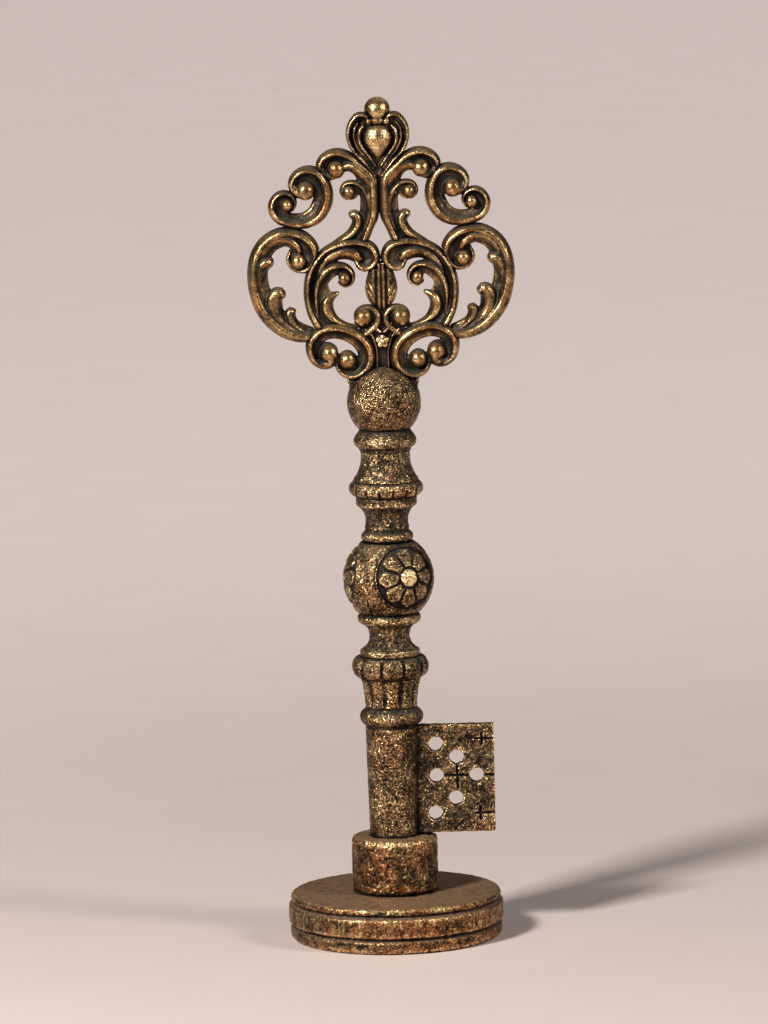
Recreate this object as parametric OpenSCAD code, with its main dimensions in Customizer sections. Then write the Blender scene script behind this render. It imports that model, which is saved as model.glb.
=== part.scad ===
// Giant ornamental key standing on a round turned foot.
// A steel rod through the middle holds the foot, the shank and the turned stem together.
// The bow on top is pierced scrollwork: scrolls made one by one and joined where they touch.
// X runs to the right along the bit, Y runs to the back, Z runs up. The origin is under the foot.

/* [Foot] */
// Height of the round foot
base_h = 29; // [25:1:34]
// Radius of the widest of the three rims
base_r = 63; // [58:1:70]
// Height of the collar that the shank stands in
socket_h = 31; // [26:1:36]
// Radius of that collar
socket_r = 25; // [23:0.5:27]

/* [Shank and bit] */
// Height of the plain shank that shows above the collar
shank_h = 65.3; // [62:0.1:80]
// Radius of the shank at the collar
shank_r = 14.2; // [13.5:0.1:15]
// Radius of the shank at its top
shank_top_r = 15.4; // [15:0.1:16]
// Distance from the axis to the outer edge of the bit
bit_reach = 59.5; // [58:0.5:66]
// Thickness of the bit
bit_t = 7; // [6:0.5:9]

/* [Turned stem] */
// Height of the ring on top of the shank
shank_ring_h = 11.3; // [10.5:0.1:13]
// Height of the fluted cup
cup_h = 18; // [16:0.5:22]
// Height of the lobed collar
lobed_h = 12.4; // [11.5:0.1:13]
// Height of the neck under the knop
lower_neck_h = 17.5; // [17:0.5:19]
// Height of the ring under the knop
knop_ring_h = 8.5; // [8:0.5:9.5]
// Height of the flower knop
knop_h = 41.5; // [40:0.5:43]
// Radius of the flower knop
knop_r = 26.8; // [26.4:0.1:27.6]
// Height of the cove over the knop
cove_h = 27.5; // [27:0.5:29]
// Height of the beaded collar
beaded_h = 8.5; // [8.5:0.5:10]
// Height of the bell over the beaded collar
bell_h = 18; // [17:0.5:20]
// Height of the ring under the ball
neck_ring_h = 12.5; // [12:0.5:14]
// Radius of the ball that carries the bow
ball_r = 21.5; // [21.3:0.1:21.9]

/* [Bow] */
// Half the thickness of the scrollwork from front to back
bow_half_t = 8; // [7:0.5:10]
// Rings of points between two points of a scroll
scroll_steps = 2; // [2:1:3]

/* [Hidden] */

$fn = 64;
GOLD = "#a98545";
DARK_GOLD = "#7d6236";
STEEL = "#8b8f94";
FELT = "#2b2926";

// The stack, from the foot up
socket_z = base_h;
shank_z = socket_z + socket_h;
shank_ring_z = shank_z + shank_h;
cup_z = shank_ring_z + shank_ring_h;
lobed_z = cup_z + cup_h;
lower_neck_z = lobed_z + lobed_h;
knop_ring_z = lower_neck_z + lower_neck_h;
knop_z = knop_ring_z + knop_ring_h;
knop_mid_z = knop_z + 19.7;
cove_z = knop_z + knop_h;
beaded_z = cove_z + cove_h;
bell_z = beaded_z + beaded_h;
neck_ring_z = bell_z + bell_h;
ball_flat_z = neck_ring_z + neck_ring_h;
ball_z = ball_flat_z + 15.7;
bow_z = ball_z + 0.3;

// The rod, its nut and washer, and the room for them under the foot
rod_r = 4;
rod_fit = 0.15;
rod_end_z = 4;
rod_top_z = ball_z - 4;
nut_well_r = 15;
nut_well_z = 14;
washer_t = 2;
washer_r = 12;
nut_r = 7.5;
nut_t = 6.5;
pad_t = 2;
pad_r = 56;
foot_edge_z = 0.5;

// The bit: a tongue on it stands in a slot of the shank
bit_x = 17;
bit_z0 = shank_z + 1.5;
bit_z1 = shank_ring_z - 0.1;
tongue_t = 4.5;
tongue_x = 8;
bit_hole_r = 4.4;
bit_holes = [[25.4, 52.3], [37.6, 44.4], [25.7, 33.4], [49.1, 33.4], [36.8, 19.9], [24.7, 11.3]];
cut_w = 1.3;
cut_depth = 1.8;

// Ornament of the stem
lobes = 10;
lobe_turn = 4;
gadroons = 16;
rosette_r = 19.3;
rosette_t = 3;
rosette_turn = 29;
rosette_tilt = 7;
petals = 8;

// Section of a scroll, across it and through it: a raised outer edge, a hollow face and a low inner edge
SCROLL = [
    [1, 0], [0.92, -0.55], [0.68, -0.9], [0.32, -1], [-0.08, -0.66], [-0.7, -0.42], [-1, -0.15],
    [-1, 0.15], [-0.7, 0.42], [-0.08, 0.66], [0.32, 1], [0.68, 0.9], [0.92, 0.55]
];
// Section of a leaf lobe: a rounded ridge that falls more gently on its inner side
LEAF = [[1, 0], [0.8, -0.75], [0.2, -1.05], [-0.6, -0.7], [-1, 0], [-0.6, 0.7], [0.2, 1.05], [0.8, 0.75]];

// Routes of the scrolls on the right-hand side, from the axis and from bow_z: [x, z, half width].
// Each turns to the left as it runs, so that its raised edge is on its outside.
ROOT_ROUTE = [
    [28.2, 25.4, 1.4], [30.8, 22.8, 1.9], [35.3, 22.8, 2.9], [39.6, 27.2, 3.9], [40.2, 35.2, 4.6],
    [35.2, 40.8, 4.7], [27.4, 42.4, 4.7], [19.2, 40.2, 4.9], [12.4, 35.3, 5.1], [9.2, 28.4, 5.3],
    [11, 21.1, 5.1], [16.8, 17.1, 3.9], [22.8, 18.3, 3.1], [26, 22.6, 2.2], [25.6, 27.6, 1.4]
];
HEART_ROUTE = [
    [11.4, 45.4, 1.2], [14.4, 48.4, 1.8], [14.2, 52.2, 2], [10.8, 55.1, 1.9], [5.5, 54.5, 2.3],
    [2.8, 50.3, 2.9], [3.9, 45.9, 2.8], [7.5, 42.2, 2.6], [11.3, 39.2, 2.4]
];
INNER_ROUTE = [
    [33.2, 42.7, 4.3], [36.9, 48.6, 4.3], [40, 54.9, 4], [41.6, 63.2, 3.7], [41, 72.6, 3.6], [37.5, 81.2, 3.6],
    [31.1, 87.9, 3.8], [22.7, 91.6, 4], [13.3, 92.4, 4], [6.4, 90, 4.2], [4.2, 84.6, 4.2],
    [6.8, 80.6, 3.8], [10.8, 80.4, 3.4], [13.6, 83.4, 2.2]
];
INNER_TIP_ROUTE = [
    [34.8, 78, 2.6], [30.2, 84.4, 3.4], [24, 87.8, 3.7], [17.4, 88.2, 3.6], [11.8, 85.2, 2.4]
];
TENDRIL_ROUTE = [
    [36.3, 50, 1.8], [37.1, 58.8, 2.7], [36.2, 67.6, 3.7], [32.5, 74.6, 4.3], [27.3, 78.4, 4.1],
    [21.3, 78.8, 3.1], [17.5, 75.4, 2.5], [17.6, 71.2, 2.1], [20.9, 69.1, 1.7], [24.2, 70.6, 1]
];
THORN_ROUTE = [[29.6, 49.4, 1.7], [31.2, 54, 3.4], [31.6, 58.8, 3.6], [29.2, 62.2, 2.5], [25.3, 64.3, 0.9]];
STEM_ROUTE = [
    [25, 135.6, 3], [27.4, 133, 2.4], [31, 134.6, 2.7], [33, 139.6, 3.5], [29.8, 144.1, 3.9], [23.7, 145.7, 4.3],
    [17.2, 143.3, 4.4], [11.8, 138.1, 4.6], [6.6, 131.4, 6], [5.4, 124, 5.6], [5.4, 116.7, 5.6],
    [5.9, 109.8, 5.6], [7.8, 103, 4.3], [11.6, 92.7, 3.2]
];
VOLUTE_ROUTE = [
    [15.8, 121, 1.3], [18.7, 120.2, 1.7], [21.1, 123.5, 1.9], [19.1, 127.3, 2.1], [14.4, 127.7, 2.5],
    [9.9, 124.5, 2.9], [7.4, 118.6, 2.9]
];
STEM_TIP_ROUTE = [[21, 138.4, 1.6], [16.5, 139.6, 2.9], [10.9, 136.6, 3.7], [6.6, 130.2, 3.5], [5, 123, 2.4]];
STEM_LEAF_ROUTE = [
    [17, 110.2, 1.2], [15, 111.4, 2], [12.9, 108.6, 2.6], [13.7, 103.9, 2.8], [17.3, 98.9, 2.6],
    [23.8, 94.8, 2], [32, 90, 1.3]
];
OUTER_ROUTE = [
    [36.5, 39.6, 3.2], [42.4, 40.6, 4.6], [48.8, 42, 5.9], [56.2, 45.5, 6.7], [63.1, 51.6, 6.9], [68.3, 59.3, 6.6],
    [71.2, 68.6, 6.2], [71.7, 78.4, 6.1], [69.6, 87.3, 6], [64.5, 94.3, 5.8], [56.2, 98, 5.8],
    [47.9, 97.2, 5.5], [41.9, 93, 5], [39.6, 87.2, 4.5], [41.6, 81.5, 3.5], [46.1, 79, 2.7],
    [50.8, 80.4, 2.2], [53.2, 84.6, 1.9], [52, 89.4, 1.3]
];
OUTER_TOP_ROUTE = [[68, 89, 3], [63.6, 94.4, 3.5], [57.4, 96.7, 3.4], [51.4, 95.4, 3], [47.4, 91, 1.6]];
OUTER_BUD_ROUTE = [[69.5, 70, 1.2], [70.2, 76.5, 2.4], [68.6, 81.6, 3.2], [65.3, 84, 3.2], [62.5, 82.6, 1.6]];
OUTER_LEAF_ROUTE = [
    [54.2, 45.6, 3], [60.6, 52.2, 4.3], [62.6, 59.6, 4.7], [61.2, 64.3, 3.8], [57.7, 65.4, 1.6]
];
OUTER_LOBE_ROUTE = [[48.2, 44.4, 2.2], [52.3, 48.9, 3], [53.5, 52.9, 2.9], [51.8, 55, 1.4]];
EAR_ROUTE = [
    [42.6, 123.9, 3.2], [45.8, 122.9, 2.2], [48.8, 125.3, 2.6], [49.6, 129.9, 3.3], [46.5, 134.3, 3.8],
    [41.4, 136.1, 4.2], [36.3, 133.7, 4.7], [32.9, 128.2, 5.3], [32.2, 121.6, 5.8], [33.9, 115.5, 5.8],
    [37.7, 110.2, 5.4], [44.4, 107.1, 4.8], [52.3, 107.5, 4.4], [58.6, 110.4, 4.2], [61.1, 115.7, 3.8],
    [59.2, 120.8, 3], [55, 122.6, 2.7], [51, 121, 2.3], [49.6, 117.3, 1.9], [50.9, 113.8, 1.3]
];
CREST_ROUTE = [
    [6.9, 164.7, 1.3], [8.1, 167.7, 1.6], [11.8, 166.7, 2.2], [15.2, 161.4, 2.6], [15.6, 154.5, 2.7],
    [12.6, 147.7, 2.7], [6.9, 141.6, 2.6], [0.8, 133, 2.4]
];
CREST_LINER_ROUTE = [[9.1, 161.6, 0.9], [11.4, 156.9, 1.3], [10.7, 151, 1.4], [7.3, 145.9, 1.2], [3, 141.7, 0.8]];
BUD_PETAL_ROUTE = [[2, 55, 2], [4.3, 60, 4.2], [4.9, 66.5, 4.6], [4.5, 73, 4.3], [4, 80, 3.6]];
BUD_RIB_ROUTE = [[0.6, 54.5, 1.2], [0.75, 66, 1.6], [0.65, 79.4, 1.3]];

// Ball eyes of the scrolls: [x, z, radius]
ROOT_EYES = [[31.2, 29.4, 4.7], [20.7, 25.2, 4.6]];
HEART_EYE = [10.1, 50.3, 3.9];
TENDRIL_EYE = [21.3, 73.1, 2.6];
SHOULDER_EYE = [24.8, 137.2, 4.3];
VOLUTE_EYE = [17.6, 123.7, 2.5];
OUTER_EYE = [48, 85.1, 3.4];
EAR_EYES = [[42.7, 125.3, 4.4], [53.7, 116.8, 2.6]];
CABOCHON_Z = 154.5;
FINIAL_Z = 170.9;
FINIAL_R = 7.5;

// Low discs that fill the curls round the eyes: [x, z, radius]
ROOT_GROUNDS = [[32.4, 29.4, 6.2], [20.6, 23.6, 6.4]];
HEART_GROUND = [9.4, 49, 5.4];
TENDRIL_GROUND = [20.8, 74, 4];
SHOULDER_GROUND = [26.8, 139, 6.4];
VOLUTE_GROUND = [16.2, 123.2, 4.4];
OUTER_GROUND = [46.8, 86.4, 6.4];
EAR_GROUNDS = [[43.4, 128.2, 6.4], [54.2, 117.4, 5]];
HOOK_GROUND = [9.4, 85.6, 5.6];
ground_t = 5.8;

// Low plates that close the small gaps between bands: points [x, z]
HEART_PLATE = [[6, 42], [13.6, 43.6], [15, 47.4], [10, 50], [4.6, 46]];
THORN_PLATE = [[29.6, 50.4], [36, 49.4], [38.6, 68], [34, 74], [31.2, 70.6], [30.2, 67], [28.6, 62]];
STEM_PLATE = [[8, 100], [16, 97], [16, 104], [11, 108]];

// Flat joints between neighbours: [x, z, angle of the joint line, half its length]
EAR_ON_OUTER = [51.3, 103.1, 0, 13];
EAR_BY_STEM = [32.7, 135.9, 48, 8];
STEM_ON_INNER = [12.8, 95.8, 0, 9];
LEAF_ON_INNER = [27.1, 93.8, -18, 7];
CREST_ON_STEM = [9.1, 140.8, 49, 16];
OUTER_BY_INNER = [39.2, 84.1, -62, 9];
OUTER_ON_ROOT = [41.6, 41, -63, 9];
INNER_ON_ROOT = [35, 45.5, -12, 8];
HEART_ON_ROOT = [9.9, 39.6, 50, 6];
BUD_ON_INNER = [5, 78, -8, 3.7];
BUD_FOOT_Z = 56;
bud_rib_half_t = 13;
ROOT_FOOT_Z = 13.9;
web_half_w = 4.4;

// One point of a smooth curve, a share t of the way from b to c
function curve_point(a, b, c, d, t) =
    0.5 * (2 * b + (c - a) * t + (2 * a - 5 * b + 4 * c - d) * t * t + (3 * b - a - 3 * c + d) * t * t * t);

// The smooth curve through all of a route's points
function smooth_route(p) = let (last = len(p) - 1) [
    for (i = [0 : last - 1], s = [0 : scroll_steps - 1])
        curve_point(p[max(i - 1, 0)], p[i], p[i + 1], p[min(i + 2, last)], s / scroll_steps),
    p[last]
];

// The outline of the section at one point of a route. Nothing passes the middle plane of the bow.
function ring_at(route, i, section, half_t) = let (
    before = route[max(i - 1, 0)],
    after = route[min(i + 1, len(route) - 1)],
    run = norm([after[0] - before[0], after[1] - before[1]]),
    out_x = (after[1] - before[1]) / run,
    out_z = (before[0] - after[0]) / run,
    w = route[i][2],
    t = half_t * min(1, 0.35 + w / 6)
) [for (s = section) [max(route[i][0] + out_x * s[0] * w, 0), s[1] * t, route[i][1] + out_z * s[0] * w]];

// A solid that follows a route with a given section
module sweep(route, section, half_t = bow_half_t) {
    path = smooth_route(route);
    n = len(section);
    last = len(path) - 1;
    points = [for (i = [0 : last], p = ring_at(path, i, section, half_t)) p];
    sides = [for (i = [0 : last - 1], k = [0 : n - 1])
        let (a = i * n + k, b = i * n + (k + 1) % n)
        each [[a, b, b + n], [a, b + n, a + n]]];
    start = [for (k = [n - 1 : -1 : 0]) k];
    end = [for (k = [0 : n - 1]) last * n + k];
    polyhedron(points, concat([start], sides, [end]));
}

// A ball eye: a short pin with a ball at the front and one at the back
module eye(e, half_t = bow_half_t) {
    stand = max(half_t - e[2] - 0.3, 0.1);
    translate([e[0], 0, e[1]]) {
        rotate([90, 0, 0]) cylinder(r = e[2], h = 2 * stand, center = true);
        for (y = [-stand, stand]) translate([0, y, 0]) sphere(e[2]);
    }
}

// A low disc or plate between the bands
module ground(g) {
    translate([g[0], 0, g[1]]) rotate([90, 0, 0]) cylinder(r = g[2], h = ground_t, center = true);
}

module plate(outline) {
    rotate([90, 0, 0]) linear_extrude(ground_t, center = true) polygon(outline);
}

// A block whose top is the joint, to cut away what lies on the far side of it
module seam(s, side) {
    reach = 8;
    translate([s[0], 0, s[1]]) rotate([0, -s[2], 0])
        translate([-s[3], -20, side > 0 ? 0 : -reach]) cube([2 * s[3], 40, reach]);
}

// Bow pieces are drawn for the right and mirrored for the left
module on_side(side) {
    translate([0, 0, bow_z]) mirror([side < 0 ? 1 : 0, 0, 0]) children();
}

// A rim of the foot or a collar: a disc with a rounded edge, drawn as half a section
module rim_2d(r, h, edge) {
    square([r - edge, h]);
    translate([0, edge]) square([r, h - 2 * edge]);
    for (z = [edge, h - edge]) translate([r - edge, z]) circle(edge);
}

// A turned piece at its height in the stack, bored for the rod
module turned(z, bored = true) {
    translate([0, 0, z]) difference() {
        rotate_extrude() intersection() {
            children();
            translate([0, -1]) square([200, 200]);
        }
        if (bored) translate([0, 0, -1]) cylinder(r = rod_r + rod_fit, h = 100);
    }
}

module base_pad() {
    color(FELT) cylinder(r = pad_r, h = pad_t);
}

module base_disc() {
    groove_h = 1.8;
    groove_depth = 2.6;
    rim_h = (base_h - foot_edge_z - 2 * groove_h) / 3;
    color(DARK_GOLD) difference() {
        turned(foot_edge_z, false) {
            for (i = [0 : 2]) translate([0, i * (rim_h + groove_h)])
                rim_2d(base_r - [0.8, 0, 1.4][i], rim_h, 2.8);
            square([base_r - groove_depth, base_h - foot_edge_z - 4]);
        }
        translate([0, 0, -1]) cylinder(r = pad_r, h = pad_t + 1);
        translate([0, 0, -1]) cylinder(r = nut_well_r, h = nut_well_z + 1);
        cylinder(r = rod_r + rod_fit, h = base_h + 1);
    }
}

module tie_rod() {
    color(STEEL) translate([0, 0, rod_end_z]) cylinder(r = rod_r, h = rod_top_z - rod_end_z);
}

module rod_washer() {
    color(STEEL) translate([0, 0, nut_well_z - washer_t]) difference() {
        cylinder(r = washer_r, h = washer_t);
        translate([0, 0, -1]) cylinder(r = rod_r + rod_fit, h = washer_t + 2);
    }
}

module rod_nut() {
    color(STEEL) translate([0, 0, nut_well_z - washer_t - nut_t]) difference() {
        cylinder(r = nut_r, h = nut_t, $fn = 6);
        translate([0, 0, -1]) cylinder(r = rod_r, h = nut_t + 2);
    }
}

module socket_collar() {
    color(DARK_GOLD) translate([0, 0, socket_z]) difference() {
        rotate_extrude() rim_2d(socket_r, socket_h, 3);
        translate([0, 0, -1]) cylinder(r = shank_r, h = socket_h + 2);
    }
}

module shank() {
    color(GOLD) difference() {
        turned(socket_z, false) {
            square([shank_r, socket_h]);
            polygon([[0, socket_h - 1], [shank_r, socket_h - 1], [shank_r, socket_h],
                [shank_top_r, socket_h + shank_h], [0, socket_h + shank_h]]);
        }
        translate([0, 0, socket_z - 1]) cylinder(r = rod_r + rod_fit, h = socket_h + shank_h + 2);
        translate([tongue_x, -tongue_t / 2, bit_z0 + 2]) cube([shank_r + 4, tongue_t, bit_z1 - bit_z0 - 4]);
    }
}

// One cross cut into a face of the bit, its arms given from its centre: left, right, down and up
module cross_cut(x, z, arms) {
    for (y = [-bit_t / 2 - 1, bit_t / 2 - cut_depth]) {
        translate([x - arms[0], y, bit_z0 + z - cut_w / 2]) cube([arms[0] + arms[1], cut_depth + 1, cut_w]);
        translate([x - cut_w / 2, y, bit_z0 + z - arms[2]]) cube([cut_w, cut_depth + 1, arms[2] + arms[3]]);
    }
}

module bit_plate() {
    to_edge = bit_reach + 1;
    color(GOLD) difference() {
        union() {
            translate([bit_x, -bit_t / 2, bit_z0]) cube([bit_reach - bit_x, bit_t, bit_z1 - bit_z0]);
            translate([tongue_x, -tongue_t / 2, bit_z0 + 2])
                cube([bit_x - tongue_x + 1, tongue_t, bit_z1 - bit_z0 - 4]);
        }
        for (h = bit_holes) translate([h[0], 0, bit_z0 + h[1]]) rotate([90, 0, 0])
            cylinder(r = bit_hole_r, h = bit_t + 2, center = true);
        cross_cut(52.4, 55.3, [4.2, to_edge - 52.4, 4, 4]);
        cross_cut(37.8, 33.4, [8, to_edge - 37.8, 9.5, 8]);
        cross_cut(51, 10.9, [3.8, to_edge - 51, 4.5, 4.5]);
    }
}

module shank_ring() {
    color(GOLD) turned(shank_ring_z) {
        square([15.4, shank_ring_h]);
        translate([14, shank_ring_h / 2]) circle(4.6);
    }
}

module fluted_cup() {
    lean = atan(3 / cup_h);
    color(GOLD) difference() {
        turned(cup_z) polygon([[0, 0], [15, 0], [15.7, 0.4 * cup_h], [16.8, 0.7 * cup_h],
            [18.5, cup_h], [0, cup_h]]);
        for (i = [0 : lobes - 1]) rotate([0, 0, lobe_turn + (i + 0.5) * 360 / lobes - 90])
            translate([16, 0, cup_z]) rotate([0, lean, 0]) cylinder(r = 1.6, h = 3 * cup_h, center = true);
    }
}

module lobed_collar() {
    color(GOLD) difference() {
        intersection() {
            translate([0, 0, lobed_z]) union() {
                cylinder(r = 19, h = lobed_h);
                for (i = [0 : lobes - 1]) rotate([0, 0, lobe_turn + i * 360 / lobes - 90])
                    translate([15.4, 0, lobed_h / 2]) sphere(7.2);
            }
            turned(lobed_z, false) rim_2d(22.6, lobed_h, 4.5);
        }
        translate([0, 0, lobed_z - 1]) cylinder(r = rod_r + rod_fit, h = lobed_h + 2);
    }
}

module lower_neck() {
    waist_r = 11.7;
    waist_z = 12;
    sweep_r = 9;
    color(GOLD) turned(lower_neck_z) difference() {
        square([17.4, lower_neck_h]);
        translate([waist_r + sweep_r, waist_z]) circle(sweep_r);
        translate([14.2, waist_z]) square([6, 10]);
    }
}

module knop_ring() {
    color(GOLD) turned(knop_ring_z) {
        square([14.2, knop_ring_h]);
        translate([0, 3]) square([16.8, knop_ring_h - 3]);
        translate([15.3, 5]) circle(3.3);
    }
}

// The ball that the flower knop and its rosettes share
module knop_ball(r = knop_r) {
    translate([0, 0, knop_mid_z]) sphere(r);
}

// Turns what is drawn towards the front to the side that a rosette faces
module facing(turn) {
    rotate([0, 0, turn]) translate([0, 0, knop_mid_z]) rotate([90 - rosette_tilt, 0, 0]) children();
}

module flower_knop() {
    color(GOLD) difference() {
        intersection() {
            knop_ball();
            translate([0, 0, knop_z]) cylinder(r = 40, h = knop_h);
        }
        for (turn = [0, 120, 240]) difference() {
            facing(rosette_turn + turn) cylinder(r = rosette_r, h = 40);
            knop_ball(knop_r - rosette_t);
        }
        translate([0, 0, knop_z - 1]) cylinder(r = rod_r + rod_fit, h = knop_h + 2);
    }
}

// What lies outside the depth of the carving on a flower
module carving_floor() {
    sphere(knop_r - 1.5);
}

// One flower: a curved disc that fills a pocket of the knop, with a flat rim, petals and a boss
module rosette(turn) {
    rim_w = 1.1;
    groove_w = 1.2;
    hub_r = 5.6;
    petal_end_r = rosette_r - 3;
    color(GOLD) difference() {
        intersection() {
            knop_ball();
            facing(turn) cylinder(r = rosette_r, h = 40);
        }
        knop_ball(knop_r - rosette_t);
        facing(turn) difference() {
            union() {
                difference() {
                    cylinder(r = rosette_r - rim_w, h = 40);
                    cylinder(r = petal_end_r + 0.9, h = 41);
                }
                difference() {
                    cylinder(r = hub_r + groove_w, h = 40);
                    cylinder(r = hub_r, h = 41);
                }
                for (i = [0 : petals - 1]) rotate([0, 0, (i + 0.5) * 360 / petals]) {
                    translate([hub_r, -groove_w / 2, 0]) cube([petal_end_r + 1 - hub_r, groove_w, 40]);
                    translate([petal_end_r + 0.6, 0, 0]) cylinder(r = 2.2, h = 40, $fn = 24);
                }
            }
            carving_floor();
        }
    }
}

module upper_cove() {
    waist_r = 12.3;
    waist_z = 12.6;
    sweep_r = 11;
    color(GOLD) turned(cove_z) {
        square([14, 3]);
        translate([12, 3.2]) circle(3.2);
        difference() {
            square([17.8, cove_h]);
            translate([waist_r + sweep_r, waist_z]) circle(sweep_r);
            translate([waist_r + 0.5, -1]) square([8, waist_z - 3]);
        }
    }
}

module beaded_collar() {
    notch_z = beaded_z + 2.2;
    color(GOLD) difference() {
        turned(beaded_z) {
            rim_2d(21.6, beaded_h, 4);
            square([19.3, beaded_h]);
        }
        for (i = [0 : gadroons - 1]) rotate([0, 0, (i + 0.5) * 360 / gadroons])
            translate([22, 0, notch_z]) rotate([0, 35, 0]) cylinder(r = 0.9, h = 7, center = true);
    }
}

module upper_bell() {
    waist_r = 14.3;
    waist_z = 14.5;
    sweep_r = 22;
    color(GOLD) turned(bell_z) difference() {
        square([19.3, bell_h]);
        translate([waist_r + sweep_r, waist_z]) circle(sweep_r);
    }
}

module neck_ring() {
    color(GOLD) turned(neck_ring_z) {
        square([14.6, neck_ring_h]);
        square([15.2, 2]);
        translate([14.7, 5.6]) circle(3.7);
        polygon([[0, 4], [17.5, 8.2], [14.6, neck_ring_h], [0, neck_ring_h]]);
    }
}

// Slot of the ball and tang of the bow that stands in it
module tang() {
    translate([-9, -3, ball_z + 2]) cube([18, 6, 24]);
}

// The ball at the top of the stem, with a shoulder at each side for the root scrolls to stand on
module bow_ball() {
    shoulder_t = 9;
    color(GOLD) difference() {
        union() {
            translate([0, 0, ball_z]) sphere(ball_r);
            translate([0, 0, bow_z]) rotate([90, 0, 0]) linear_extrude(shoulder_t, center = true)
                polygon([[-12, 0], [12, 0], [18, 5.6], [20.6, 10.6], [20.2, ROOT_FOOT_Z],
                    [-20.2, ROOT_FOOT_Z], [-20.6, 10.6], [-18, 5.6]]);
        }
        translate([-50, -50, ball_flat_z - 100]) cube(100);
        translate([0, 0, ball_flat_z - 1]) cylinder(r = rod_r, h = rod_top_z - ball_flat_z + 1);
        tang();
    }
}

// The flat root of the bow: its tang and the web between the root scrolls
module bow_root() {
    web_t = 9;
    color(DARK_GOLD) union() {
        difference() {
            translate([0, 0, bow_z]) rotate([90, 0, 0]) linear_extrude(web_t, center = true) polygon([
                [-web_half_w, ROOT_FOOT_Z], [-web_half_w, 32.4], [-6.9, 37.8], [-4.5, 41.5], [0, 45],
                [4.5, 41.5], [6.9, 37.8], [web_half_w, 32.4], [web_half_w, ROOT_FOOT_Z]
            ]);
            translate([0, 0, ball_z]) sphere(ball_r);
        }
        intersection() {
            tang();
            translate([0, 0, ball_z]) sphere(ball_r + 0.5);
        }
    }
}

// The small flower on the web, drawn for the front and turned about for the back
module root_flower(turn) {
    color(GOLD) translate([0, 0, bow_z + 35.9]) rotate([0, 0, turn]) rotate([90, 0, 0])
        translate([0, 0, 4.5]) {
            cylinder(r = 2.2, h = 2);
            for (i = [0 : 4]) rotate([0, 0, 90 + 72 * i]) translate([2.5, 0, 0]) cylinder(r = 1.7, h = 1.5);
        }
}

module root_scroll(side) {
    color(GOLD) on_side(side) difference() {
        union() {
            sweep(ROOT_ROUTE, SCROLL);
            for (e = ROOT_EYES) eye(e);
            for (g = ROOT_GROUNDS) ground(g);
        }
        seam(OUTER_ON_ROOT, 1);
        seam(INNER_ON_ROOT, 1);
        seam(HEART_ON_ROOT, 1);
        translate([0, -20, 0]) cube([web_half_w, 40, 35.3]);
        translate([0, -20, 0]) cube([30, 40, ROOT_FOOT_Z]);
        translate([0, 0, ball_z - bow_z]) sphere(ball_r);
    }
}

module heart_volute(side) {
    color(GOLD) on_side(side) difference() {
        union() {
            sweep(HEART_ROUTE, SCROLL, 7);
            eye(HEART_EYE, 7.5);
            ground(HEART_GROUND);
            plate(HEART_PLATE);
        }
        seam(HEART_ON_ROOT, -1);
        translate([-1, -20, BUD_FOOT_Z]) cube([8, 40, 4]);
    }
}

module calyx_bud() {
    color(GOLD) translate([0, 0, bow_z]) difference() {
        union() {
            for (m = [0, 1]) mirror([m, 0, 0]) {
                sweep(BUD_PETAL_ROUTE, LEAF, 7.4);
                sweep(BUD_RIB_ROUTE, LEAF, bud_rib_half_t);
            }
        }
        for (m = [0, 1]) mirror([m, 0, 0]) seam(BUD_ON_INNER, 1);
        translate([-20, -20, BUD_FOOT_Z - 10]) cube([40, 40, 10]);
    }
}

module inner_scroll(side) {
    color(GOLD) on_side(side) difference() {
        union() {
            sweep(INNER_ROUTE, SCROLL);
            sweep(INNER_TIP_ROUTE, LEAF, 7);
            sweep(TENDRIL_ROUTE, SCROLL, 7);
            sweep(THORN_ROUTE, LEAF, 6.5);
            eye(TENDRIL_EYE, 7);
            ground(TENDRIL_GROUND);
            ground(HOOK_GROUND);
            plate(THORN_PLATE);
        }
        seam(INNER_ON_ROOT, -1);
        seam(STEM_ON_INNER, 1);
        seam(LEAF_ON_INNER, 1);
        seam(OUTER_BY_INNER, 1);
        seam(BUD_ON_INNER, -1);
    }
}

module leaf_stem(side) {
    color(GOLD) on_side(side) difference() {
        union() {
            sweep(STEM_ROUTE, SCROLL);
            sweep(VOLUTE_ROUTE, SCROLL, 7);
            sweep(STEM_TIP_ROUTE, LEAF, 7.4);
            sweep(STEM_LEAF_ROUTE, LEAF, 7.4);
            eye(SHOULDER_EYE);
            eye(VOLUTE_EYE, 7);
            ground(SHOULDER_GROUND);
            ground(VOLUTE_GROUND);
            plate(STEM_PLATE);
        }
        seam(STEM_ON_INNER, -1);
        seam(LEAF_ON_INNER, -1);
        seam(EAR_BY_STEM, -1);
        seam(CREST_ON_STEM, 1);
    }
}

module outer_scroll(side) {
    color(GOLD) on_side(side) difference() {
        union() {
            sweep(OUTER_ROUTE, SCROLL);
            sweep(OUTER_TOP_ROUTE, LEAF, 7.6);
            sweep(OUTER_BUD_ROUTE, LEAF);
            sweep(OUTER_LEAF_ROUTE, LEAF, 7);
            sweep(OUTER_LOBE_ROUTE, LEAF, 7);
            eye(OUTER_EYE);
            ground(OUTER_GROUND);
        }
        seam(EAR_ON_OUTER, 1);
        seam(OUTER_BY_INNER, -1);
        seam(OUTER_ON_ROOT, -1);
    }
}

module ear_scroll(side) {
    color(GOLD) on_side(side) difference() {
        union() {
            sweep(EAR_ROUTE, SCROLL);
            for (e = EAR_EYES) eye(e);
            for (g = EAR_GROUNDS) ground(g);
        }
        seam(EAR_ON_OUTER, -1);
        seam(EAR_BY_STEM, 1);
    }
}

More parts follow.
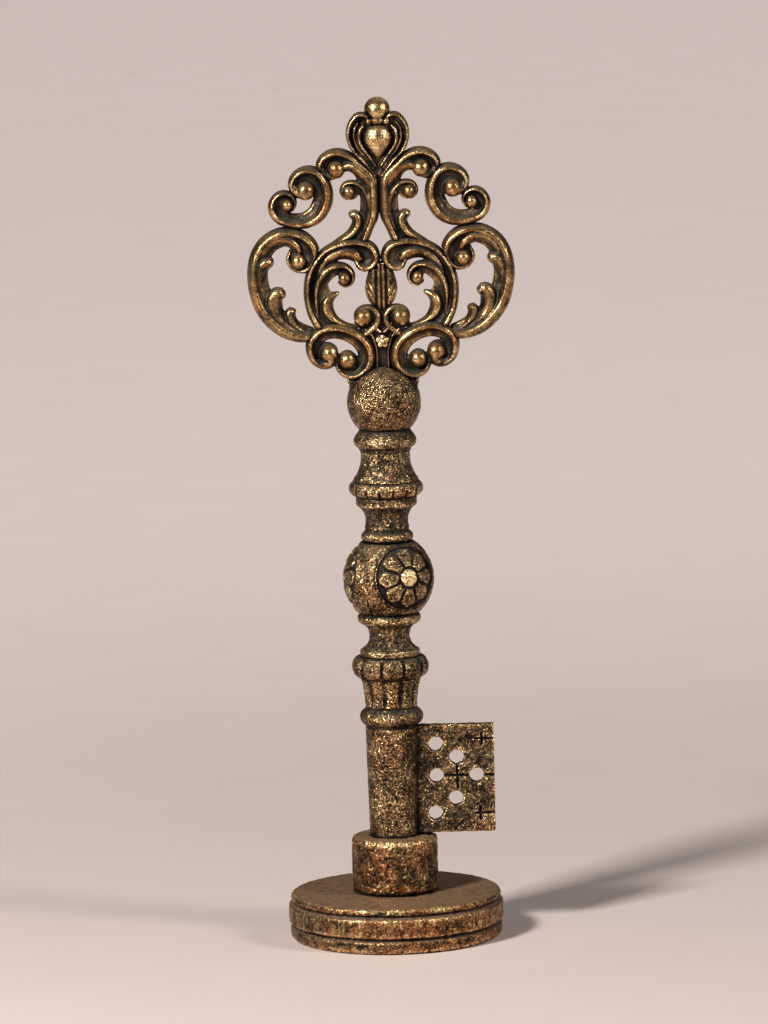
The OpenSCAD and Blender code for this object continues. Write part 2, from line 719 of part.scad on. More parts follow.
// The cabochon: a ball drawn out to a point below, let into the crest from front to back
module drop() {
    r = 8.8;
    translate([0, 0, bow_z + CABOCHON_Z]) {
        sphere(r);
        translate([0, 0, -1.6 * r]) cylinder(r1 = 0.2, r2 = r * 0.78, h = 0.98 * r);
    }
}

module finial() {
    translate([0, 0, bow_z + FINIAL_Z]) sphere(FINIAL_R);
}

module crest() {
    color(GOLD) difference() {
        translate([0, 0, bow_z]) difference() {
            union() {
                for (m = [0, 1]) mirror([m, 0, 0]) {
                    sweep(CREST_ROUTE, SCROLL, 7.5);
                    sweep(CREST_LINER_ROUTE, LEAF, 6.5);
                }
                rotate([90, 0, 0]) linear_extrude(7, center = true) {
                    translate([0, CABOCHON_Z]) circle(15);
                    polygon([[-11.3, 147], [11.3, 147], [0, 129]]);
                    translate([-6, 157]) square([12, 10.2]);
                }
            }
            for (m = [0, 1]) mirror([m, 0, 0]) seam(CREST_ON_STEM, -1);
        }
        drop();
        finial();
    }
}

module cabochon() {
    color(GOLD) drop();
}

module finial_ball() {
    color(GOLD) finial();
}

base_pad();
base_disc();
tie_rod();
rod_washer();
rod_nut();
socket_collar();
shank();
bit_plate();
shank_ring();
fluted_cup();
lobed_collar();
lower_neck();
knop_ring();
flower_knop();
rosette(rosette_turn);  // rosette_front
rosette(rosette_turn + 120);  // rosette_back
rosette(rosette_turn + 240);  // rosette_left
upper_cove();
beaded_collar();
upper_bell();
neck_ring();
bow_ball();
bow_root();
root_flower(0);  // root_flower_front
root_flower(180);  // root_flower_back
root_scroll(-1);  // root_scroll_left
root_scroll(1);  // root_scroll_right
heart_volute(-1);  // heart_volute_left
heart_volute(1);  // heart_volute_right
calyx_bud();
inner_scroll(-1);  // inner_scroll_left
inner_scroll(1);  // inner_scroll_right
leaf_stem(-1);  // leaf_stem_left
leaf_stem(1);  // leaf_stem_right
outer_scroll(-1);  // outer_scroll_left
outer_scroll(1);  // outer_scroll_right
ear_scroll(-1);  // ear_scroll_left
ear_scroll(1);  // ear_scroll_right
crest();
cabochon();
finial_ball();
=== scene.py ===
# Dresses the giant ornamental key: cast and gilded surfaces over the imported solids.
# Lengths are in millimetres until a piece is made, and then in metres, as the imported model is.
import math

import bpy
import numpy as np
from mathutils import Matrix, Vector
from mathutils.bvhtree import BVHTree


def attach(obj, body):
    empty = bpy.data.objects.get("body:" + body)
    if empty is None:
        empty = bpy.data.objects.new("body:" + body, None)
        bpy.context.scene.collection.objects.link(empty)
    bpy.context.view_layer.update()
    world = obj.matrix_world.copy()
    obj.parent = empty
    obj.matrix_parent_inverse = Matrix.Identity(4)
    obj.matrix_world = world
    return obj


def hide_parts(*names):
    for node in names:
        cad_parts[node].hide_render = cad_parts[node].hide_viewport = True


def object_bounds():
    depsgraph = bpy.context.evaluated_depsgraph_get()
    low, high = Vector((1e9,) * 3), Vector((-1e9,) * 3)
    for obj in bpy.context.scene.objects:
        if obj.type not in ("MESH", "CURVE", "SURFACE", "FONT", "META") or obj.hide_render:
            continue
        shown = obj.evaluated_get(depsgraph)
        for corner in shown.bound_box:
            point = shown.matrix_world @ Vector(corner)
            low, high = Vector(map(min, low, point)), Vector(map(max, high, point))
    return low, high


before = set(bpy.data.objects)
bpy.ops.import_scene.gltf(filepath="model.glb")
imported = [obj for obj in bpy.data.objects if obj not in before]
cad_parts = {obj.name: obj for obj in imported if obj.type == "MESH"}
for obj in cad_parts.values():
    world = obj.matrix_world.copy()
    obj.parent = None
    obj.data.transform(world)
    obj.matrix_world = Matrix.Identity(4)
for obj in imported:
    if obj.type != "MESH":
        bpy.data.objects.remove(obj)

MM = 0.001
cad_low, cad_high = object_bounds()

# Heights from the underside of the foot
COLLAR_JOINT_Z = 27
LOBE_Z = 160.8
KNOP_MID_Z = 212.7
BOW_Z = 317.0

# Heights from the bow's foot
ROOT_FOOT_Z = 13.9
ROOT_FLOWER_Z = 35.9
BUD_FOOT_Z = 56
CABOCHON_Z = 154.5
FINIAL_Z = 170.9

# Radii, half widths and half thicknesses
BOW_HALF_T = 8.0
GROUND_HALF_T = 2.9
WEB_HALF_W = 4.4
BUD_HALF_T = 7.6
CABOCHON_R = 9.1
CABOCHON_WIDE = 1.08
FINIAL_R = 7.5
FOOT_FACE_R = 46
FOOT_RIM_R = 54
BORE_KEEP_R = 10

# The bit's inner edge, and how far it is drawn towards the shank
BIT_EDGE_X = 18
BIT_REACH = 3.2

# Lobed collar: outer radius, the radii that the lobes swell from and stand on, and half their height
LOBES = 10
LOBE_TURN = 4
LOBE_R = 22.7
LOBE_ROOT_R = 15
LOBE_CORE_R = 13
LOBE_HALF_H = 6.1
NOTCHES = 16

# Knop and rosettes
KNOP_R = 26.8
KNOP_CORNERS = (-31, 89, 209)
ROSETTE_R = 19.3
ROSETTE_T = 3.0
ROSETTE_TILT = math.radians(7)
ROSETTE_TURNS = {"front": 29, "back": 149, "left": 269}
PETALS = 8
PETAL_FOOT_R = 6.3
PETAL_END_R = 17.5
PETAL_ROUND_R = 5
PETAL_GAP = 0.4
PETAL_DEPTH = 1.75
HUB_R = 5.5

# Turned castings of the stem, with the heights of the joints at their ends
STEM_JOINTS = {
    "shank": (60, 125.3), "shank_ring": (125.3, 136.6), "fluted_cup": (136.6, 154.6),
    "lobed_collar": (154.6, 167), "lower_neck": (167, 184.5), "knop_ring": (184.5, 193),
    "flower_knop": (193, 234.5), "upper_cove": (234.5, 262), "beaded_collar": (262, 270.5),
    "upper_bell": (270.5, 288.5), "neck_ring": (288.5, 301), "bow_ball": (301,),
}
STEM_NODES = (*STEM_JOINTS, "bit_plate", "rosette_front", "rosette_back", "rosette_left")
FOOT_NODES = ("base_disc", "socket_collar")

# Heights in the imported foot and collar, and where the cast ones have them
RIM_HEIGHTS = [
    [0, 0], [1.2, 1.2], [6.5, 6.9], [9.3, 8.4], [11.1, 9.6], [13.9, 11.6], [16.3, 19.6], [19.1, 21.6],
    [20.9, 22.7], [23.7, 23.8], [26.2, 24.9], [29, 27],
]
FACE_HEIGHTS = [[0, 0], [22, 22], [29, 27]]
COLLAR_HEIGHTS = [[29, 26.6], [32.5, 31.4], [60, 60]]

# More or less gold on single castings of the stem and the foot
GILT = {
    "shank_ring": -0.2, "upper_cove": -0.1, "bit_plate": -0.1, "flower_knop": 0.08, "beaded_collar": -0.1,
    "neck_ring": -0.1, "lobed_collar": -0.15, "socket_collar": 0.05, "base_disc": -0.1,
}

# The saddle that joins the ball to the bow: height from the bow's foot, half width and half thickness
SADDLE = [
    [-6, 15, 12], [0, 17.4, 12], [3, 17.5, 10.6], [6, 18.6, 9], [9, 20.3, 7.8], [12, 20.9, 7],
    [13.9, 20.8, 6.6],
]

# Routes of the scrolls on the right-hand side, from the axis and from the bow's foot: x, z, half width
ROOT_ROUTE = [
    [29.2, 27.2, 2.6], [29.8, 23.6, 2.4], [34.6, 22.8, 3], [39.6, 27.2, 3.9], [40.2, 35.2, 4.6],
    [35.2, 40.8, 4.7], [27.4, 42.4, 4.7], [19.2, 40.2, 4.9], [12.4, 35.3, 5.1], [9.2, 28.4, 5.3],
    [11, 21.1, 5.1], [16.8, 17.1, 3.9], [22.8, 18.3, 3.1], [26, 22.6, 2.2], [25.6, 27.6, 1.4],
]
HEART_ROUTE = [
    [11.4, 45.4, 1.2], [14.4, 48.4, 1.8], [14.2, 52.2, 2], [10.8, 55.1, 1.9], [5.5, 54.5, 2.3],
    [2.8, 50.3, 2.9], [3.9, 45.9, 2.8], [7.5, 42.2, 2.6], [11.3, 39.2, 2.4],
]
INNER_ROUTE = [
    [33.2, 42.7, 4.3], [36.9, 48.6, 4.3], [40, 54.9, 4], [41.6, 63.2, 3.7], [41, 72.6, 3.6],
    [37.5, 81.2, 3.6], [31.1, 87.9, 3.8], [22.7, 91.6, 4], [13.3, 92.4, 4], [6.4, 90, 4.2],
    [4.2, 84.6, 4.2], [6.8, 80.6, 3.8], [10.8, 80.4, 3.4], [13.6, 83.4, 2.2],
]
INNER_TIP_ROUTE = [
    [37, 70, 1.3], [34.8, 78, 2.6], [30.2, 84.4, 3.4], [24, 87.6, 3.8], [18, 87.6, 4], [14.4, 86, 3.8],
    [12.8, 84.6, 3.1],
]
TENDRIL_ROUTE = [
    [36.3, 50, 1.8], [37.1, 58.8, 2.7], [36.2, 67.6, 3.7], [32.5, 74.6, 4.3], [27.3, 78.4, 4.1],
    [21.3, 78.8, 3.1], [17.5, 75.4, 2.5], [17.6, 71.2, 2.1], [20.9, 69.1, 1.7], [24.2, 70.6, 1],
]
THORN_ROUTE = [
    [15.5, 44.4, 1], [22, 46, 1.7], [27.6, 49, 2.6], [31.2, 54, 3.6], [31.6, 58.8, 3.6],
    [29.2, 62.2, 2.6], [25.7, 64.1, 1.3],
]
STEM_ROUTE = [
    [25, 135.1, 3], [27.4, 132.6, 2.4], [31, 134.1, 2.7], [33, 138.9, 3.5], [29.8, 143.2, 3.9],
    [23.7, 144.7, 4.3], [17.2, 142.4, 4.4], [11.8, 137.5, 4.6], [6.6, 131.1, 6], [5.4, 124, 5.6],
    [5.4, 116.7, 5.6], [5.9, 109.8, 5.6], [8, 103, 4.7], [12.4, 92.7, 4.6],
]
VOLUTE_ROUTE = [
    [15.8, 121, 1.3], [18.7, 120.2, 1.7], [21.1, 123.5, 1.9], [19.1, 127.3, 2.1], [14.4, 127.7, 2.5],
    [9.9, 124.5, 2.9], [7.4, 118.6, 2.9],
]
STEM_TIP_ROUTE = [
    [20.2, 137.4, 2.6], [16.6, 138.3, 3.3], [11, 135.8, 3.9], [6.6, 129.9, 3.5], [5, 123, 2.4],
]
STEM_MID_ROUTE = [[10, 122.6, 1.2], [7.2, 122.2, 2.3], [5.4, 117, 3], [6, 109.5, 3], [9.5, 100, 2.2]]
STEM_LEAF_ROUTE = [
    [15.6, 110, 2.6], [14.2, 109.8, 3], [13, 107.2, 3.1], [13.9, 103.2, 3], [17.3, 98.7, 2.7],
    [23.8, 94.8, 2], [32, 90, 1.3],
]
OUTER_ROUTE = [
    [36.5, 39.6, 3.2], [42.4, 40.6, 4.6], [48.8, 42, 5.9], [56.2, 45.5, 6.7], [63.1, 51.6, 6.9],
    [68.3, 59.3, 6.6], [71.2, 68.6, 6.2], [71.7, 78.4, 6.1], [69.6, 87.3, 6], [64.5, 94.3, 5.8],
    [56.2, 98, 5.8], [47.9, 97.2, 5.5], [41.9, 93, 5], [39.6, 87.2, 4.5], [41.6, 81.5, 3.5],
    [46.1, 79, 2.7], [50.8, 80.4, 2.2], [53.2, 84.6, 1.9], [52, 89.4, 1.3],
]
OUTER_TOP_ROUTE = [
    [69.5, 82, 2], [68, 89, 3], [63.6, 94.4, 3.5], [57.4, 96.4, 3.6], [51.8, 94.8, 3.5], [48.6, 92, 3.1],
    [47.6, 90, 2.4],
]
OUTER_BUD_ROUTE = [[70, 69, 1.4], [70.6, 75, 2.8], [69.2, 80.4, 3.8], [66.6, 82.8, 4.1], [65.2, 83.2, 3.4]]
OUTER_LEAF_ROUTE = [
    [46, 40.8, 1.6], [54.2, 45.6, 3], [60.6, 52.2, 4.3], [62.6, 59.2, 5], [61.6, 63.6, 4.5], [59.4, 65, 3.7],
    [58.4, 64.4, 3],
]
OUTER_LOBE_ROUTE = [
    [43, 41.5, 1.2], [48.2, 44.4, 2.2], [52.3, 48.9, 3], [53.4, 52.6, 3.2], [52.6, 54.2, 2.8], [52, 54, 2.3],
]
EAR_ROUTE = [
    [42.6, 123.4, 3.2], [45.8, 122.4, 2.2], [48.8, 124.7, 2.6], [49.6, 129.1, 3.3], [46.5, 133.3, 3.8],
    [41.4, 135, 4.2], [36.1, 133, 5], [32.9, 127.5, 5.3], [32.2, 121.2, 5.8], [33.9, 115.3, 5.8],
    [37.7, 110.1, 5.4], [44.4, 107.1, 4.8], [52.3, 107.5, 4.4], [58.6, 110.4, 4.2], [61.1, 115.7, 3.8],
    [59.2, 120.8, 3], [55, 122.6, 2.7], [51, 121, 2.3], [49.6, 117.3, 1.9], [50.9, 113.8, 1.3],
]
ROOT_TONGUE_ROUTE = [[38.4, 25.4, 1.6], [34.8, 23.2, 2.3], [31.2, 23.8, 3], [30.2, 27, 3.6]]
HEART_TONGUE_ROUTE = [[10.8, 55, 1.4], [14, 52.4, 1.8], [14, 48.8, 2.4], [11.8, 47, 3]]
SHOULDER_TONGUE_ROUTE = [[32.8, 137.6, 1.6], [31, 134.5, 2.2], [27.8, 133.1, 2.8], [25.4, 135, 3.4]]
EAR_TONGUE_ROUTE = [[49.4, 128, 1.6], [48.4, 124.6, 2.2], [46, 122.8, 2.8], [43.6, 123.2, 3.4]]
CREST_ROUTE = [
    [6.9, 164.7, 1.3], [8.1, 167.7, 1.6], [11.8, 166.7, 2.2], [15.2, 161.4, 2.6], [15.6, 154.5, 2.7],
    [12.6, 147.7, 2.7], [6.9, 141.6, 2.6], [0.8, 133, 2.4],
]
CREST_RIM_ROUTE = [
    [5.4, 164.8, 1.1], [6.2, 167.2, 1.2], [8.8, 168.4, 1.3], [12.6, 167.4, 1.3], [16.4, 161.8, 1.3],
    [17, 154.4, 1.3], [13.8, 146.8, 1.3], [8, 140.7, 1.3], [1.9, 132.4, 1.2],
]
CREST_MIDDLE_ROUTE = [
    [11, 163.8, 0.8], [13.2, 160.4, 1.1], [13.6, 154.6, 1.3], [11, 148.4, 1.3], [6.6, 142.6, 1.1],
    [2.6, 137, 0.9],
]
CREST_LINER_ROUTE = [
    [8.2, 162, 1.1], [10.4, 159.2, 1.4], [10.9, 154.2, 1.4], [9, 149.2, 1.3], [5.4, 144.2, 1.2],
    [1.6, 138.6, 1],
]
BUD_OUTLINE = [
    [53, 2.6], [54.5, 4], [57, 5.8], [60, 7.8], [63.5, 9.1], [67, 9.5], [71, 9], [75, 7.8], [79, 6.6],
    [82, 6],
]
BUD_CUTS = [55.5, 60.5, 65.5]
NECK_RIB_ROUTE = [[3.8, 12, 1], [3.3, 22, 1], [3.6, 32, 1.1], [6, 39, 1.2], [9.8, 43, 1.2]]
CHEVRON_ROUTE = [[0.8, 41.2, 1.3], [3.2, 43, 1.4], [5.6, 46.4, 1.3]]

# Ball eyes of the scrolls: x, z, radius
ROOT_EYES = [[31.2, 29.4, 4.7], [20.7, 25.2, 4.6]]
HEART_EYE = [10.6, 50.3, 4.4]
TENDRIL_EYE = [21.3, 73.1, 3]
SHOULDER_EYE = [24.8, 136.7, 4.7]
VOLUTE_EYE = [17.4, 123.6, 3]
OUTER_EYE = [48, 83.6, 3.9]
EAR_EYES = [[42.7, 124.8, 4.9], [53.7, 116.8, 2.9]]

# Low grounds that fill the curls round the eyes: x, z, radius
ROOT_GROUNDS = [[32.4, 29.4, 6.2], [20.6, 23.6, 6.4]]
HEART_GROUND = [9.4, 49, 5.4]
TENDRIL_GROUND = [20.8, 74, 4]
SHOULDER_GROUND = [26.8, 139, 6.4]
VOLUTE_GROUND = [16.2, 123.2, 4.4]
OUTER_GROUND = [46.8, 86.4, 6.4]
EAR_GROUNDS = [[43.4, 128.2, 6.4], [54.2, 117.4, 5]]
HOOK_GROUND = [9.4, 85.6, 5.6]

# Low plates that close the small gaps between bands: outlines in x and z
HEART_PLATE = [(6, 40), (16, 41.6), (16.6, 46.4), (10, 50), (4.6, 46)]
THORN_PLATE = [(24, 44.4), (37, 46), (38.6, 68), (34, 74), (31.2, 70.6), (30.2, 67), (28.6, 62), (28.4, 52)]
BUD_TOP_PLATE = [(1.3, 78.4), (5, 78), (5, 84), (0.4, 84)]
STEM_PLATE = [(8, 100), (16, 97), (16, 104), (11, 108)]
ROOT_WEB = [
    (9.4, 13.5), (7, 19.6), (4.7, 24.6), (4.6, 31), (6.4, 36), (9.6, 39.6), (6.4, 43), (1.6, 48), (1, 55),
]
CREST_PLATES = [[(-11, 147), (0, 129.5), (11, 147)], [(-6, 157), (6, 157), (6, 167), (-6, 167)]]
CREST_DISC_R = 14.6

# Boxes that are cut away: from and to in x, and from and to in z
ROOT_BOXES = [(-1, WEB_HALF_W - 0.5, 0, 35.3), (0, 30, -2, ROOT_FOOT_Z - 1)]
BUD_BOXES = [(-9, 9, 48, BUD_FOOT_Z - 2)]

# The bead on the crest's hooks (x, y, z, radius) and the egg between them (centre, radii)
CREST_BEAD = [5.2, 6.3, 164.6, 1.6]
CREST_TIP = [(0, 0, 164.8), (5.6, 6.8, 3.4)]

# Profile of the cabochon, in shares of its radius
CABOCHON_PROFILE = [
    [0.1, -1.62], [0.24, -1.46], [0.42, -1.22], [0.63, -0.92], [0.82, -0.6], [0.95, -0.3], [1, 0],
    [0.95, 0.3], [0.81, 0.58], [0.59, 0.8], [0.3, 0.95], [0.08, 0.99],
]

# Flat joints between neighbours: x, z, angle of the joint line in degrees, half its length
EAR_ON_OUTER = [51.3, 103.1, 0, 13]
EAR_BY_STEM = [32.7, 135.9, 48, 8]
STEM_ON_INNER = [12.8, 95.8, 0, 9]
LEAF_ON_INNER = [27.1, 93.8, -18, 7]
CREST_ON_STEM = [9.1, 140.8, 49, 16]
OUTER_BY_INNER = [39.2, 84.1, -62, 9]
OUTER_ON_ROOT = [41.6, 41, -63, 9]
INNER_ON_ROOT = [35, 45.5, -12, 8]
HEART_ON_ROOT = [9.9, 39.6, 50, 6]
BUD_ON_INNER = [5, 78, -8, 3.7]
JOINT_OVERLAP = 0.25

# Half sections, across a scroll (1 is its outer edge) and through it (1 is its full depth)
SCROLL = [
    [1, 0], [0.99, 0.26], [0.94, 0.48], [0.85, 0.67], [0.72, 0.82], [0.56, 0.93], [0.39, 0.99],
    [0.24, 0.98], [0.11, 0.88], [-0.03, 0.71], [-0.2, 0.55], [-0.4, 0.45], [-0.62, 0.41], [-0.82, 0.39],
    [-0.94, 0.28], [-1, 0.1],
]
LEAF = [
    [1, 0], [0.98, 0.34], [0.9, 0.62], [0.74, 0.84], [0.52, 0.98], [0.27, 1.04], [0, 1.02],
    [-0.28, 0.92], [-0.55, 0.76], [-0.79, 0.54], [-0.94, 0.3], [-1, 0.1],
]
RIB = [
    [1, 0], [0.92, 0.5], [0.7, 0.85], [0.36, 1.02], [0, 1.06], [-0.36, 1.02], [-0.7, 0.85], [-0.92, 0.5],
    [-1, 0],
]

# Depth of the skin's relief, and how it and the ridges fade at joints
BOW_RELIEF = 0.07
STEM_RELIEF = 0.32
ROSETTE_RELIEF = 0.12
JOINT_FADE = 0.9
LEVEL_FADE = 0.8
JOINT_RELIEF = 0.3

# Rounds of smoothing that ridges are read against, and the weight of each reading
RIDGE_READINGS = ((3, 0.6), (14, 1.0), (60, 1.0))
KNOP_RIDGE_SHARE = 0.2

# Shade: how far off things count, and where the rays start
SHADE_REACH = 7.0
SHADE_START = 0.4

# Colours of the gilding; the two blacks paint shade and the copper also paints a reflection, as noted below
# Near-black in pits: partly the dark ground left in them, partly painted shade
PIT_BLACK_AND_SHADE = (0.004, 0.003, 0.002)
# Painted shade: near-black laid in hollows, creases and joints where the shade reading is high
PAINTED_SHADE_BLACK = (0.005, 0.004, 0.003)
DULL_GOLD = (0.34, 0.203, 0.081)
# Copper, for random patches and also for a painted warm reflection of the floor on undersides
COPPER_AND_FLOOR_BOUNCE = (0.4, 0.16, 0.048)
PALE_GOLD = (1.0, 0.76, 0.41)

# Floor, light and camera, in metres. The floor glows more, away from the middle of the lit part
FLOOR_R = 14.0
LIT_MIDDLE = (0, -0.6, 0)
LIT_FALL = 6
FAR_GLOW = 0.8
LAMP_TARGET = (0, 0, 0.25)
ROOM_LIGHT = 0.06
CAMERA_PLACE = (-0.00155, -4.5, 0.915)
CAMERA_TARGET = (-0.00155, 0, 0.2518)
CAMERA_ROLL = math.radians(-1.39)
FOCAL_SHARE = 7780 / 1024

# Cells that pieces are remeshed with, and how often the result is smoothed
BOW_CELL = 0.42
CREST_CELL = 0.36
BUD_CELL = 0.33
STEM_CELL = 0.55
BIT_CELL = 0.5
FOOT_CELL = 0.7
SMOOTH_ROUNDS = 4

# Fineness of the forms before remeshing
SECTION_POINTS = 44
ROUTE_STEP = 0.8
BALL_RINGS = 24
BALL_POINTS = 40
POLE_GAP = 0.06
END_ANGLES = (25, 50, 72)

# A narrow band is shallower: its least share of the depth, and the width that adds a whole one
NARROW_DEPTH = 0.35
DEPTH_WIDTH = 6

# Eyes are larger than in the table, and stand over their scroll
EYE_SWELL = 1.12
EYE_PROUD = 1.2
TONGUE_HALF_T = 8.4

# Reach of the blocks that are cut away at joints
CUT_DEPTH = 8
CUT_HALF_T = 20


class Shape:
    """Points and faces that several forms are gathered in, in millimetres."""

    def __init__(self):
        self.points = []
        self.faces = []
        self.count = 0

    def add(self, points, faces):
        self.points.append(np.asarray(points, float))
        self.faces.extend([tuple(i + self.count for i in face) for face in faces])
        self.count += len(points)

    def add_rings(self, rings):
        """Closed rings of points, joined into a tube with flat ends."""
        rings = np.array(rings)
        n = rings.shape[1]
        faces = []
        for i in range(len(rings) - 1):
            for k in range(n):
                a = i * n + k
                b = i * n + (k + 1) % n
                faces.append((a, b, b + n, a + n))
        last = (len(rings) - 1) * n
        faces.append(tuple(range(n - 1, -1, -1)))
        faces.append(tuple(range(last, last + n)))
        self.add(rings.reshape(-1, 3), faces)

    def mesh(self, name):
        made = bpy.data.meshes.new(name)
        made.from_pydata(np.vstack(self.points).tolist(), [], self.faces)
        return made


def ring_of(x, y, z):
    """A ring of points. Each coordinate is an array, or one number for all points."""
    return np.stack(np.broadcast_arrays(x, y, z), axis=1)


def full_turn(count):
    return np.linspace(0, 2 * math.pi, count, endpoint=False)


def smooth_step(x, low, high):
    t = np.clip((x - low) / (high - low), 0, 1)
    return t * t * (3 - 2 * t)


def hump(x, width):
    """1 where x is 0, falling away to both sides."""
    return np.exp(-(x / width) ** 2)


def from_table(x, table):
    """The second column of a table, read at x in its first column."""
    return np.interp(x, [row[0] for row in table], [row[1] for row in table])


def curve_point(a, b, c, d, t):
    """The point a share t of the way from b to c on a smooth curve through all four."""
    square = 2 * a - 5 * b + 4 * c - d
    cube = 3 * b - a - 3 * c + d
    return 0.5 * (2 * b + (c - a) * t + square * t * t + cube * t ** 3)


def run_along(points):
    """The way travelled up to each point of a line."""
    return np.concatenate([[0], np.cumsum(np.linalg.norm(np.diff(points, axis=0), axis=1))])


def closed_section(half):
    """A smooth closed outline, evenly spaced, from its half above the middle plane."""
    below = [[u, -v] for u, v in reversed(half) if v > 0]
    p = np.array(list(half) + below, float)
    before = np.roll(p, 1, axis=0)
    after = np.roll(p, -1, axis=0)
    second = np.roll(p, -2, axis=0)
    shares = np.linspace(0, 1, 8, endpoint=False)
    fine = np.stack([curve_point(before, p, after, second, t) for t in shares], axis=1).reshape(-1, 2)
    fine = np.vstack([fine, fine[:1]])
    run = run_along(fine)
    s = np.linspace(0, run[-1], SECTION_POINTS, endpoint=False)
    return np.stack([np.interp(s, run, fine[:, k]) for k in range(2)], axis=1)


def smooth_route(route):
    """Points and half widths along the smooth curve through a route, evenly spaced."""
    p = np.array(route, float)
    p = np.vstack([p[:1], p, p[-1:]])
    fine = []
    for a, b, c, d in zip(p[:-3], p[1:-2], p[2:-1], p[3:]):
        for t in np.linspace(0, 1, 12, endpoint=False):
            fine.append(curve_point(a, b, c, d, t))
    fine = np.vstack(fine + [p[-1]])
    run = run_along(fine[:, :2])
    s = np.linspace(0, run[-1], max(int(run[-1] / ROUTE_STEP), 4) + 1)
    return np.stack([np.interp(s, run, fine[:, k]) for k in range(3)], axis=1)


def sweep(shape, route, half_section, half_t):
    """A solid along a route with rounded ends. It keeps to its own side of the middle plane x = 0."""
    path = smooth_route(route)
    section = closed_section(half_section)
    ahead = np.gradient(path[:, :2], axis=0)
    ahead /= np.linalg.norm(ahead, axis=1)[:, None]
    stations = [(p[:2], p[2], direction, 1.0) for p, direction in zip(path, ahead)]
    for angle in END_ANGLES:
        turn = math.radians(angle)
        for end, way in ((0, -1), (-1, 1)):
            centre = path[end, :2] + way * ahead[end] * path[end, 2] * math.sin(turn)
            station = (centre, path[end, 2], ahead[end], math.cos(turn))
            stations.insert(0 if end == 0 else len(stations), station)
    rings = []
    for centre, w, direction, scale in stations:
        t = half_t * min(1, NARROW_DEPTH + w / DEPTH_WIDTH)
        x = centre[0] + direction[1] * section[:, 0] * w * scale
        z = centre[1] - direction[0] * section[:, 0] * w * scale
        rings.append(ring_of(np.maximum(x, 0), section[:, 1] * t * scale, z))
    shape.add_rings(rings)


def ball(shape, centre, radii):
    """An egg with its own radius along each axis."""
    b = full_turn(BALL_POINTS)
    rings = []
    for a in np.linspace(POLE_GAP, math.pi - POLE_GAP, BALL_RINGS):
        rings.append(ring_of(
            np.sin(a) * np.cos(b) * radii[0], np.sin(a) * np.sin(b) * radii[1], np.cos(a) * radii[2],
        ))
    shape.add_rings(np.array(rings) + np.array(centre, float))


def eye(shape, spot, half_t):
    """A short pin with a ball at the front and one at the back."""
    x, z, r = spot
    r *= EYE_SWELL
    stand = max(half_t - r + EYE_PROUD, 0.1)
    for y in (-stand, stand):
        ball(shape, (x, y, z), (r, r, r))
    b = full_turn(BALL_POINTS)
    shape.add_rings([ring_of(x + r * np.cos(b), y, z + r * np.sin(b)) for y in (-stand, stand)])


def slab(shape, outline, half_t):
    """A flat plate with this outline in x and z."""
    p = np.array(outline, float)
    shape.add_rings([ring_of(p[:, 0], y, p[:, 1]) for y in (-half_t, half_t)])


def disc(x, z, r):
    """The outline of a round plate."""
    a = np.radians(np.linspace(0, 360, 48, endpoint=False))
    return [(x + r * math.cos(t), z + r * math.sin(t)) for t in a]


def linked(name, data):
    made = bpy.data.objects.new(name, data)
    bpy.context.scene.collection.objects.link(made)
    return made


def with_modifier(mesh, kind, **settings):
    """The mesh that one modifier makes of a mesh."""
    holder = linked("holder", mesh)
    modifier = holder.modifiers.new(kind, kind)
    for key, value in settings.items():
        setattr(modifier, key, value)
    evaluated = holder.evaluated_get(bpy.context.evaluated_depsgraph_get())
    made = bpy.data.meshes.new_from_object(evaluated)
    bpy.data.objects.remove(holder)
    return made


def readings_of(items, name, width, kind):
    values = np.empty(len(items) * width, kind)
    items.foreach_get(name, values)
    return values.reshape(-1, width)


def positions(mesh):
    return readings_of(mesh.vertices, "co", 3, np.float32).astype(float)


def normals_of(mesh):
    return readings_of(mesh.vertex_normals, "vector", 3, np.float32).astype(float)


def set_positions(mesh, co):
    mesh.vertices.foreach_set("co", co.astype(np.float32).ravel())
    mesh.update()


def edges_of(mesh):
    """The two points of each edge, and how many edges meet at each point."""
    pairs = readings_of(mesh.edges, "vertices", 2, np.int32)
    return pairs, np.maximum(np.bincount(pairs.ravel(), minlength=len(mesh.vertices)), 1)


def neighbour_mean(values, edges, degree):
    """The mean of each point's neighbours."""
    out = np.empty_like(values)
    for k in range(values.shape[1]):
        total = np.bincount(edges[:, 0], values[edges[:, 1], k], len(values))
        total += np.bincount(edges[:, 1], values[edges[:, 0], k], len(values))
        out[:, k] = total / degree
    return out


def remeshed(mesh, cell):
    """An even surface round all forms of a mesh, smoothed without shrinking it."""
    made = with_modifier(mesh, "REMESH", mode="VOXEL", voxel_size=cell, use_smooth_shade=True)
    co = positions(made)
    edges, degree = edges_of(made)
    for _ in range(SMOOTH_ROUNDS):
        for share in (0.5, -0.52):
            co += share * (neighbour_mean(co, edges, degree) - co)
    set_positions(made, co)
    return made


def cut_box(mesh, corners):
    """Takes a box away. Its eight corners are given as four of one end and then four of the other."""
    sides = [(3, 2, 1, 0), (4, 5, 6, 7), (0, 1, 5, 4), (1, 2, 6, 5), (2, 3, 7, 6), (3, 0, 4, 7)]
    block = bpy.data.meshes.new("block")
    block.from_pydata(corners, [], sides)
    cutter = linked("cutter", block)
    made = with_modifier(mesh, "BOOLEAN", object=cutter, operation="DIFFERENCE", solver="MANIFOLD")
    bpy.data.objects.remove(cutter)
    return made


def block_of(loop):
    return [(x, y, z) for y in (CUT_HALF_T, -CUT_HALF_T) for x, z in loop]


